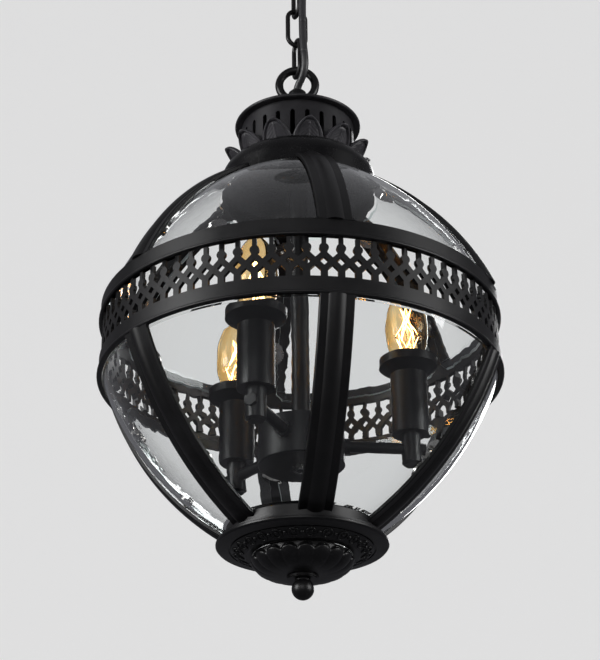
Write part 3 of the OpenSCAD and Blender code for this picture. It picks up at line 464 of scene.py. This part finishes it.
# Camera of the photograph: its place, how far it looks up and how it is rolled, in degrees, and its
# focal length in pixels of the photograph
CAMERA_PLACE = (0.0, -1.31593, -1.07983)
CAMERA_UP = 25.96
CAMERA_ROLL = -0.64
FOCAL_PX = 1816.06
PHOTO_HEIGHT_PX = 660
SENSOR_MM = 36

# Floor and round backdrop
FLOOR_Z = -3.8
FLOOR_HALF = 9
WALL_RADIUS = 8
WALL_TOP = 6.0
WALL_SIDES = 48

# Tone that the camera, and rays through the glass, see on them, its share over their lit paint,
# and the dim tone that reflections show
PALE = (0.93, 0.93, 0.93, 1)
PALE_SHARE = 0.72
DIM = (0.11, 0.11, 0.12, 1)
# Above the backdrop the world shows the tone that the backdrop comes to
ABOVE_WALL = (0.73, 0.73, 0.73, 1)
ROOM_TONE = (0.95, 0.95, 1.0, 1)
ROOM_STRENGTH = 0.22

# Studio lamps: name, place, size and power in watts, all turned to the middle of the lantern
STUDIO_LAMPS = (
    ("key", (-2.5, -1.2, 0.0), 1.5, 66),
    ("fill", (2.6, -1.0, -0.1), 1.5, 52),
    ("front", (-0.4, -2.9, -0.2), 1.6, 16),
    ("back", (0.6, 2.4, 0.7), 1.2, 26),
)
LANTERN_MIDDLE = (0, 0, -0.42)

# Painted finishes: name, share of the paint's tone, roughness and grain
PAINTED = (
    ("satin_black", 1.0, 0.34, 1.0),
    # The cast paint is a shaded copy of the satin black, 0.9 of its tone: painted shade of the down-facing
    # tray and bowl, shared by the loops. Its lower roughness and coarser grain are the casting's own
    ("satin_black_cast", 0.9, 0.30, 1.6),
    # The leaves' paint is a lit copy of the satin black, 8.5 times its tone: painted light falling on the
    # leaf crown from above
    ("satin_black_leaf", 8.5, 0.38, 2.2),
    # The crown's paint is a lit copy of the satin black, 4 times its tone: painted light from above on the
    # slotted collar and the top flange
    ("satin_black_crown", 4.0, 0.36, 1.0),
    ("gloss_black", 0.6, 0.20, 0.2),
    ("satin_black_strap", 0.95, 0.34, 0.8),
    ("satin_black_pierced", 1.05, 0.40, 1.4),
)

# Finish of each material slot in the record, and of the nodes that differ from their slot. The caps
# of the bulbs keep the frame's own cap_brass
SLOT_FINISHES = {
    "nickel": "nickel_plate", "clear_glass": "pane_glass_lower", "amber_glass": "bulb_amber",
    "cap_brass": "cap_brass", "black_plastic": "black_gland", "pale_plastic": "pale_insulator",
    "painted_metal": "satin_black",
}
NODE_FINISHES = {
    "fretwork_band": "satin_black_pierced", "leaf_crown": "satin_black_leaf",
    "shoulder_dome": "gloss_black", "upper_glass": "pane_glass_upper",
    # The slotted collar and the top flange take the lit copy of the paint, painted light from above
    "slotted_collar": "satin_black_crown", "top_flange": "satin_black_crown",
    # The bowl, the tray and the loops take the shaded copy of the paint, painted shade under the tray and
    # the bowl
    "bowl": "satin_black_cast", "tray": "satin_black_cast",
    "suspension_loop": "satin_black_cast", "rose_loop": "satin_black_cast",
    "flex": "black_flex",
}


def finish_of(name):
    """A material by its name: one that the finishes operator made, or the frame's own."""
    return bpy.data.materials[name]


class LANTERN_OT_stage(bpy.types.Operator):
    """Camera, floor, backdrop, lamps and world"""
    bl_idname = "lantern.stage"
    bl_label = "Stage"

    def execute(self, context):
        scene = context.scene
        scene.view_settings.view_transform = "Standard"
        self.camera(scene)
        self.backdrop()
        self.room(scene)
        for lamp in STUDIO_LAMPS:
            self.lamp(*lamp)
        return {"FINISHED"}

    def camera(self, scene):
        """Camera of the photograph, which looks up from under the lantern and is a little rolled."""
        camera = bpy.data.objects.new("camera", bpy.data.cameras.new("camera"))
        scene.collection.objects.link(camera)
        camera.location = CAMERA_PLACE
        tilt = Matrix.Rotation(math.radians(90 + CAMERA_UP), 3, "X")
        roll = Matrix.Rotation(math.radians(CAMERA_ROLL), 3, "Z")
        camera.rotation_euler = (tilt @ roll).to_euler()
        camera.data.sensor_width = SENSOR_MM
        camera.data.lens = SENSOR_MM * FOCAL_PX / PHOTO_HEIGHT_PX
        camera.data.clip_start = 0.01
        scene.camera = camera

    def backdrop(self):
        """Square floor, and a round wall of points (R cos a, R sin a, z) at two heights."""
        half = FLOOR_HALF
        corners = np.array([(-half, -half, FLOOR_Z), (half, -half, FLOOR_Z), (half, half, FLOOR_Z),
                            (-half, half, FLOOR_Z)])
        floor = make_piece("floor", corners, [np.array([[0, 1, 2, 3]])], self.plain("floor_paint"))
        a = np.linspace(0, 2 * np.pi, WALL_SIDES + 1)[:-1]
        z, aa = np.meshgrid(np.array([FLOOR_Z, WALL_TOP]), a, indexing="ij")
        wall_points = np.stack([WALL_RADIUS * np.cos(aa), WALL_RADIUS * np.sin(aa), z], axis=-1)
        wall = make_piece("backdrop", wall_points.reshape(-1, 3),
                          [grid_faces(2, WALL_SIDES, False, True)], self.plain("backdrop_paint"))

    def room(self, scene):
        """Dim light from all round, in place of which the camera and the glass see a pale tone."""
        scene.world = bpy.data.worlds.new("room_light")
        pen = Pen("room_light", scene.world)
        pen.feed(pen.shader.inputs["Color"], ROOM_TONE)
        pen.feed(pen.shader.inputs["Strength"], ROOM_STRENGTH)
        pale = pen.node("ShaderNodeBackground", Color=ABOVE_WALL, Strength=1.0)
        seen, bent = pen.wires("ShaderNodeLightPath", "Is Camera Ray", "Is Transmission Ray")
        pen.lay_over(pen.math("MAXIMUM", seen, bent), pale)

    def plain(self, name):
        """Pale paint that the camera, and rays through the glass, see as near white, and that stays
        dim in reflections, as the dark room of the photograph does."""
        pen = Pen(name)
        seen, glossy, bent = pen.wires(
            "ShaderNodeLightPath", "Is Camera Ray", "Is Glossy Ray", "Is Transmission Ray")
        grain = pen.noise(2, 2)
        colour = pen.mix(grain, (0.80, 0.80, 0.80, 1), (0.84, 0.84, 0.84, 1))
        pen.principled(Base_Color=colour, Roughness=0.9)
        glow = pen.node("ShaderNodeEmission", Color=PALE, Strength=1.0)
        pen.lay_over(pen.math("MAXIMUM", seen, bent) * PALE_SHARE, glow)
        dim = pen.node("ShaderNodeEmission", Color=DIM, Strength=1.0)
        pen.lay_over(pen.math("MAXIMUM", glossy - bent, 0.0), dim)
        return pen.owner

    def lamp(self, name, place, size, power):
        """Square soft lamp turned towards the middle of the lantern."""
        data = bpy.data.lights.new(name, "AREA")
        data.size, data.energy = size, power
        lamp = bpy.data.objects.new(name, data)
        lamp.visible_camera = False
        lamp.visible_transmission = False
        bpy.context.scene.collection.objects.link(lamp)
        lamp.location = place
        towards = Vector(LANTERN_MIDDLE) - Vector(place)
        lamp.rotation_euler = towards.to_track_quat("-Z", "Y").to_euler()


class LANTERN_OT_finishes(bpy.types.Operator):
    """Paint, plate, glass and plastic, put on the solids that stay"""
    bl_idname = "lantern.finishes"
    bl_label = "Finishes"

    def execute(self, context):
        look = context.scene.lantern_finish
        paint = tuple(look.paint)
        for name, share, roughness, grain in PAINTED:
            painted_metal(name, tuple(share * c for c in paint), roughness, grain)
        plated_metal("nickel_plate", tuple(look.plate))
        moulded_plastic("pale_insulator", (0.72, 0.69, 0.61), 0.42)
        moulded_plastic("black_gland", (0.016, 0.016, 0.016), 0.45)
        sleeve_pvc("black_flex", (0.02, 0.02, 0.022))
        bent_glass("pane_glass_upper", *UPPER_ARC)
        bent_glass("pane_glass_lower", *LOWER_ARC)
        amber_glass("bulb_amber", tuple(look.amber))
        glowing_wire("filament_glow", tuple(look.glow), look.glow_strength)
        plain_glass("stem_glass")
        slots = {s["node"]: s["material_slot"] for s in frame["record"]["subparts"]}
        for name, node in frame["nodes"].items():
            material = NODE_FINISHES.get(name, SLOT_FINISHES[slots[name]])
            if "_rib_" in name:
                material = "satin_black_strap"
            node.data.materials.clear()
            node.data.materials.append(finish_of(material))
        return {"FINISHED"}


# Pieces


class LANTERN_OT_flex(bpy.types.Operator):
    """Flex beside the chain, in four stretches"""
    bl_idname = "lantern.flex"
    bl_label = "Flex"

    def execute(self, context):
        radius = context.scene.lantern_sizes.flex_radius
        path = smooth_path(FLEX_ROUTE, count=121)
        # Heights of the cuts, from the lantern's gland up
        cuts = [-0.2105, -0.179, -0.1475, -0.1165, -0.0803]
        marks = [int(np.argmin(np.abs(path[:, 2] - z))) for z in cuts]
        for i in range(4):
            stretch = path[marks[i]:marks[i + 1] + 1]
            pts, faces = swept(stretch, radius, sides=20)
            piece = make_piece(f"flex_stretch_{i + 1}", pts, faces, finish_of("black_flex"))
            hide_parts("flex")
            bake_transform(piece)
        return {"FINISHED"}


# A bulb's neck, how far it lies under the widest place, its wall, and how far each bulb is turned
# past the last one, in degrees
BULB_NECK_RADIUS = 7.6 * MM
BULB_NECK_DROP = 23.5 * MM
BULB_WALL = 0.5 * MM
BULB_TURN = 40
# Least radius of the envelope's faces, at which its tip is closed
POLE_RADIUS = 0.02 * MM

# Passes of the filament's zigzag: heights of the lower and upper hooks over the widest place and
# radii of their circles, in millimetres, and the share of a turn from one hook to the next
FILAMENT_PASSES = ((-4, 20.5, 9, 4.6, 0.4), (-16, -4, 5.5, 9, 0.1))
HOOK_COUNT = 11
# Angle of the first hook, in radians
FIRST_HOOK = 0.35


class LANTERN_OT_bulbs(bpy.types.Operator):
    """Candle bulbs with crossed filaments on a glass stem"""
    bl_idname = "lantern.bulbs"
    bl_label = "Bulbs"

    def profile(self, radius, length, wall):
        """Closed profile of the thin envelope, down the outside and up the inside.

        Over the widest place the radius is R (1 - s^2.2)^0.62 with s the share of the way to the
        tip, and under it an ellipse closes in to the neck.
        """
        neck, low, tip = BULB_NECK_RADIUS, -BULB_NECK_DROP, length - BULB_NECK_DROP
        s = np.linspace(0, 1, 30)
        top = np.stack([radius * (1 - s ** 2.2) ** 0.62, s * tip], axis=-1)
        q = np.linspace(0, 1, 22)[1:]
        under = np.stack([neck + (radius - neck) * np.sqrt(1 - q ** 2 * 0.999), q * low], axis=-1)
        outer = np.vstack([top[::-1], under])
        outer[0, 0] = POLE_RADIUS
        inner = outer[::-1].copy()
        inner[:, 0] = np.maximum(inner[:, 0] - wall, POLE_RADIUS)
        inner[:, 1] = np.minimum(inner[:, 1], tip - wall)
        return np.vstack([outer, inner])

    def filament(self, radius):
        """Zigzag of straight spans between hooks, with the hooks' circle narrow and wide in turn.

        Hook k stands at (r cos a, r sin a, z) with a = 2 pi t k + 0.35. With t = 0.4 it is nearly across
        the bulb from the last one, so the spans cross near the middle like an hourglass. The short
        pass under it has t = 0.1 and goes round the stem.
        """
        parts = []
        for low, high, r_low, r_high, turn in FILAMENT_PASSES:
            k = np.arange(HOOK_COUNT)
            a = 2 * np.pi * turn * k + FIRST_HOOK
            upper = k % 2 == 1
            r = np.where(upper, r_high, r_low)
            z = np.where(upper, high, low)
            hooks = np.stack([r * np.cos(a), r * np.sin(a), z], axis=-1)
            share = np.linspace(0, 1, 9, endpoint=False)[None, :, None]
            spans = hooks[:-1, None, :] + (hooks[1:, None, :] - hooks[:-1, None, :]) * share
            spans = np.vstack([spans.reshape(-1, 3), hooks[-1:]])
            parts.append(swept(spans * MM, radius, sides=6, side_hint=(0.21, 0.13, 0.97)))
        return join_parts(parts)

    def supports(self):
        """Five plated wires out to the hooks: each is a smooth path along one radius from the stem,
        with a small round eye at its end."""
        # Places (r, z) along a wire, height of its eye's middle, and radii of the wire, of the eye's
        # circle and of the eye's own wire, in millimetres
        reach, eye_z = ((1.6, -20), (2.6, -12), (6.5, -6.5), (9.4, -4.6)), -4.2
        wire_r, eye_r, eye_wire_r = 0.34, 0.9, 0.4
        end_r = reach[-1][0]
        parts = []
        for i in range(5):
            a = 2 * np.pi * 0.2 * i + FIRST_HOOK
            c, s = np.cos(a), np.sin(a)
            arm = smooth_path([(r * c, r * s, z) for r, z in reach], count=16)
            parts.append(swept(arm * MM, wire_r * MM, sides=6, side_hint=(s, -c, 0)))
            t = np.linspace(0, 2 * np.pi, 13)[:-1]
            eye = np.array([end_r * c, end_r * s, eye_z]) + eye_r * np.stack(
                [np.cos(t) * c, np.cos(t) * s, np.sin(t)], axis=-1)
            parts.append(swept(eye * MM, eye_wire_r * MM, sides=6, side_hint=(s, -c, 0)))
        return join_parts(parts)

    def stem(self):
        """Glass stem: a thin rod up the middle of the bulb that flares out at its foot."""
        # Profile (r, z) in millimetres, with z from the bulb's widest place
        rod = [(0.05, 18), (1.0, 17.5), (1.1, 0), (1.2, -12), (3.6, -17), (5.6, -22), (0.05, -22)]
        return turned(np.array(rod) * MM, sides=20)

    def execute(self, context):
        sizes = context.scene.lantern_sizes
        for i in range(3):
            centre = lamp_place(i) + np.array([0, 0, BULB_WIDEST_Z])
            turn = BULB_TURN * i
            body = f"bulb_{i + 1}"
            shell = self.profile(sizes.bulb_radius, sizes.bulb_length, BULB_WALL)
            pts, faces = turned(shell, sides=64)
            glass = make_piece(f"bulb_envelope_{i + 1}", pts + centre, faces, finish_of("bulb_amber"))
            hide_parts(f"bulb_glass_{i + 1}")
            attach(glass, body)
            pts, faces = self.filament(sizes.filament_radius)
            wire = make_piece(f"bulb_filament_{i + 1}", turn_about_z(pts, turn) + centre, faces,
                              finish_of("filament_glow"))
            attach(wire, body)
            pts, faces = self.supports()
            arms = make_piece(f"bulb_supports_{i + 1}", turn_about_z(pts, turn) + centre, faces,
                              finish_of("nickel_plate"))
            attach(arms, body)
            pts, faces = self.stem()
            stem = make_piece(f"bulb_stem_{i + 1}", pts + centre, faces, finish_of("stem_glass"))
            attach(stem, body)
        return {"FINISHED"}


# Angle of one groove of the bowl, in degrees from +X, and the sides that a lobe is turned with
GROOVE_ANGLE = 4.2
LOBE_SIDES = 16


class LANTERN_OT_bowl(bpy.types.Operator):
    """Lobed bowl under the tray"""
    bl_idname = "lantern.bowl"
    bl_label = "Lobed bowl"

    def execute(self, context):
        lobes = context.scene.lantern_sizes.bowl_lobes
        # Radii of the rim, the foot and the bore, depth and wall, in millimetres
        rim, foot, bore_r, depth, wall = 40.5, 12.0, 3.2, 16.0, 4.4
        # How far the arches over the lobes and the grooves between them are cut back
        arch_cut, groove_cut = 2.6, 2.0
        # Outside, with q = pi t / 2 down the bowl: radius foot + (rim - foot) cos(q)^0.7 and height
        # -depth sin(q). Inside: a quarter of an ellipse from the bore up to the wall
        t = np.linspace(0, 1, 46) ** 1.25
        outer = np.stack([foot + (rim - foot) * np.cos(np.pi / 2 * t) ** 0.7,
                          -depth * np.sin(np.pi / 2 * t)], axis=-1)
        back = t[::-3]
        inner = np.stack([bore_r + (rim - wall - bore_r) * np.cos(np.pi / 2 * back),
                          -(depth - wall) * np.sin(np.pi / 2 * back)], axis=-1)
        bore = np.array([[bore_r, -depth]])
        profile = np.vstack([outer, bore, inner])
        count = len(t)
        share_of = np.concatenate([t, np.zeros(len(profile) - count)])
        outside = np.concatenate([np.ones(count), np.zeros(len(profile) - count)])

        def wave(k, a, r, z):
            """Lobes under the tray's ring, each round across: with x from -1 to 1 over a lobe its swell is
            sqrt(1 - 0.96 x^2). It starts under an arch, at a share 0.03 + 0.20 (1 - swell) of the way
            down and in full 0.13 later, and the grooves fade over the last 0.6 towards the foot."""
            share, on = share_of[k], outside[k]
            x = 2 * np.mod(lobes * (a - math.radians(GROOVE_ANGLE)) / (2 * np.pi), 1) - 1
            swell = np.sqrt(1 - 0.96 * x ** 2)
            start = np.clip((share - 0.03 - 0.20 * (1 - swell)) / 0.13, 0, 1)
            start = start * start * (3 - 2 * start)
            fade = np.clip((1 - share) / 0.6, 0, 1)
            cut = arch_cut * (1 - start) + groove_cut * (1 - swell) * start * fade
            return r - on * cut, z

        pts, faces = turned(profile, sides=lobes * LOBE_SIDES, wave=wave)
        pts = pts * MM + np.array([0, 0, BOWL_RIM_Z])
        # The bowl takes the shaded copy of the paint, painted shade on its underside
        bowl = make_piece("bowl_lobed", pts, faces, finish_of("satin_black_cast"))
        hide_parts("bowl")
        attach(bowl, "lantern")
        return {"FINISHED"}


class LANTERN_OT_leaves(bpy.types.Operator):
    """Leaf crown: cast leaves with a raised border and fine veins, on a foot ring"""
    bl_idname = "lantern.leaves"
    bl_label = "Leaf crown"

    def leaf(self):
        """One leaf along +X, as a closed sheet of two faces.

        Across it u runs from -1 to 1 and up it v from 0 to 1. Its half width is
        w (1 - v^1.9)^0.72 + 0.05, its face leans out and curls at the tip, and its relief is a raised
        border 1 / (1 + ((e - m) / h)^8) at a distance e from the edge, a groove within it, and a
        swelling field with a midrib and slanting veins.
        """
        # Half width, length, lean and thickness of a leaf, and the radius that it stands at, in mm
        w, length, lean, thick, foot = 12.7, 19.5, math.radians(33), 1.5, 48.2
        # Distances from the edge: middle and half width of the border and of the groove, and where
        # the field starts and how soon it is full
        border_mid, border_half, groove_mid, groove_half = 1.15, 1.05, 2.75, 0.45
        field_from, field_over = 3.0, 1.6
        # Height of the border, depth of the groove, and heights of the field, the midrib and the veins
        border_h, groove_h, field_h, midrib_h, vein_h = 1.45, 0.3, 0.5, 0.75, 0.22
        # Half width of the midrib, slant and closeness of the veins, how far the tip curls outwards and
        # down, and the share of a full bend round the collar that a row gets
        midrib_half, vein_slant, vein_rate = 0.75, 0.9, 2.1
        curl_out, curl_down, bend_share = 1.6, 1.1, 0.9
        rows, cols = 30, 33
        v, u = np.meshgrid(np.linspace(0, 1, rows), np.linspace(-1, 1, cols), indexing="ij")
        half = w * np.maximum(1 - v ** 1.9, 0) ** 0.72 + 0.05
        # Distance from the edge across the leaf, or three quarters of that from its tip, if it is less
        edge = np.minimum((1 - np.abs(u)) * half, (1 - v) * length * 0.75)
        border = 1 / (1 + ((edge - border_mid) / border_half) ** 8)
        groove = np.exp(-((edge - groove_mid) / groove_half) ** 2)
        field = np.clip((edge - field_from) / field_over, 0, 1)
        y = u * half
        ripple = np.sin((np.abs(y) * vein_slant + v * length) * vein_rate)
        veins = vein_h * field * ripple * np.clip(1 - v, 0, 1)
        midrib = midrib_h * np.exp(-(y / midrib_half) ** 2) * (1 - v) ** 0.4
        relief = (border_h * border - groove_h * groove + field_h * field * (1 - u ** 2)
                  + midrib * field + veins)
        s = v * length
        out = s * math.sin(lean) + curl_out * v ** 3
        up = s * math.cos(lean) - curl_down * v ** 3
        nx, nz = math.cos(lean), -math.sin(lean)
        # Each row bends round the collar: x shrinks with y^2 / 2R, times the bend's share. The front
        # lies over the back by thickness and relief, along the face's normal (nx, nz)
        bend = -y ** 2 / (2 * (foot + out)) * bend_share
        front = np.stack([foot + out + bend + (thick + relief) * nx, y, up + (thick + relief) * nz], -1)
        back = np.stack([foot + out + bend, y, up], -1)
        pts = np.vstack([front.reshape(-1, 3), back.reshape(-1, 3)])
        n = rows * cols
        face = grid_faces(rows, cols)
        low = np.arange(cols)
        high = (rows - 1) * cols + np.arange(cols)
        left = np.arange(rows) * cols
        right = left + cols - 1

        def wall(edge_line, flip):
            """Quads from an edge line of the front to the same line of the back."""
            a, b = edge_line[:-1], edge_line[1:]
            quad = np.stack([a, b, b + n, a + n], -1)
            return quad if not flip else quad[:, ::-1]

        return pts, [face, face[:, ::-1] + n, wall(low, True), wall(high, False),
                     wall(left, False), wall(right, True)]

    def execute(self, context):
        count = context.scene.lantern_sizes.leaf_count
        pts, faces = self.leaf()
        parts = [(turn_about_z(pts, RIB_AZIMUTH + 360 * i / count), faces) for i in range(count)]
        # Section (r, z) of the foot ring that joins the leaves, in millimetres
        ring = [(51.2, 2.4), (51.2, 0.5), (50.8, 0), (47.6, 0), (47.6, 2.4)]
        parts.append(turned(ring, sides=144))
        pts, faces = join_parts(parts)
        pts = pts * MM + np.array([0, 0, CROWN_FOOT_Z])
        # The leaves take the lit copy of the paint, which paints the light falling on them from above
        crown = make_piece("leaf_crown_cast", pts, faces, finish_of("satin_black_leaf"))
        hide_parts("leaf_crown")
        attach(crown, "lantern")
        return {"FINISHED"}


class LANTERN_OT_tray_relief(bpy.types.Operator):
    """Ring-and-boss ornament in low relief round the underside of the tray, between its beads"""
    bl_idname = "lantern.tray_relief"
    bl_label = "Tray relief"

    def execute(self, context):
        # Rings round the tray, radius of the circle of their middles, a ring's half widths outwards and
        # round, and the cone that they lie on, 0.05 under the tray's: it passes (cone_r, cone_z) and
        # falls inwards by this slope. Lengths are in millimetres
        count, circle, half_out, half_round = 24, 49.2, 3.9, 3.6
        cone_r, cone_z, fall = 54.7, -4.85, 5.0 / 11.2
        # Radii of a ring's wire and of its boss, and the boss's foot and height
        wire_r, boss_r, boss_z, boss_h = 0.85, 1.9, -6.8, 1.5
        t = np.linspace(0, 2 * np.pi, 33)
        s = np.linspace(0, 1, 9)
        parts = []
        # At t a ring's radius is circle + half_out cos t, and its angle base + half_round sin t /
        # circle. At a share s of its height a boss has the radius boss_r sqrt(1 - 0.999 s^2)
        for i in range(count):
            base = 2 * np.pi * (i + 0.5) / count
            radius = circle + half_out * np.cos(t)
            angle = base + half_round * np.sin(t) / circle
            z = cone_z - (cone_r - radius) * fall
            path = np.stack([radius * np.cos(angle), radius * np.sin(angle), z], -1)
            parts.append(swept(path, wire_r, sides=8, side_hint=(0.1, 0.2, 0.97)))
            boss = np.array([circle * np.cos(base), circle * np.sin(base), boss_z])
            rise = boss + np.stack([0 * s, 0 * s, -boss_h * s], -1)
            parts.append(swept(rise, boss_r * np.sqrt(1 - 0.999 * s ** 2), sides=16))
        pts, faces = join_parts(parts)
        pts = pts * MM + np.array([0, 0, TRAY_TOP_Z])
        # The tray's rings take the shaded copy of the paint, painted shade under the tray
        rings = make_piece("tray_rings", pts, faces, finish_of("satin_black_cast"))
        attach(rings, "lantern")
        return {"FINISHED"}


class LANTERN_PT_panel(bpy.types.Panel):
    """Lists the lantern's sizes, finishes and pieces"""
    bl_idname = "LANTERN_PT_panel"
    bl_label = "Globe lantern"
    bl_space_type = "VIEW_3D"
    bl_region_type = "UI"
    bl_category = "Lantern"

    def draw(self, context):
        for group in (context.scene.lantern_finish, context.scene.lantern_sizes):
            for key in group.bl_rna.properties.keys():
                if key not in {"rna_type", "name"}:
                    self.layout.prop(group, key)
        for step in STEPS:
            self.layout.operator(step.bl_idname)


STEPS = (
    LANTERN_OT_finishes, LANTERN_OT_stage, LANTERN_OT_flex, LANTERN_OT_bulbs, LANTERN_OT_bowl,
    LANTERN_OT_leaves, LANTERN_OT_tray_relief,
)
CLASSES = (LanternFinish, LanternSizes, *STEPS, LANTERN_PT_panel)


def register():
    for cls in CLASSES:
        bpy.utils.register_class(cls)
    bpy.types.Scene.lantern_finish = bpy.props.PointerProperty(type=LanternFinish)
    bpy.types.Scene.lantern_sizes = bpy.props.PointerProperty(type=LanternSizes)


def unregister():
    del bpy.types.Scene.lantern_sizes
    del bpy.types.Scene.lantern_finish
    for cls in reversed(CLASSES):
        bpy.utils.unregister_class(cls)


def main():
    """Runs each step."""
    register()
    for step in STEPS:
        group, call = step.bl_idname.split(".")
        getattr(getattr(bpy.ops, group), call)()


if __name__ == "__main__":
    main()
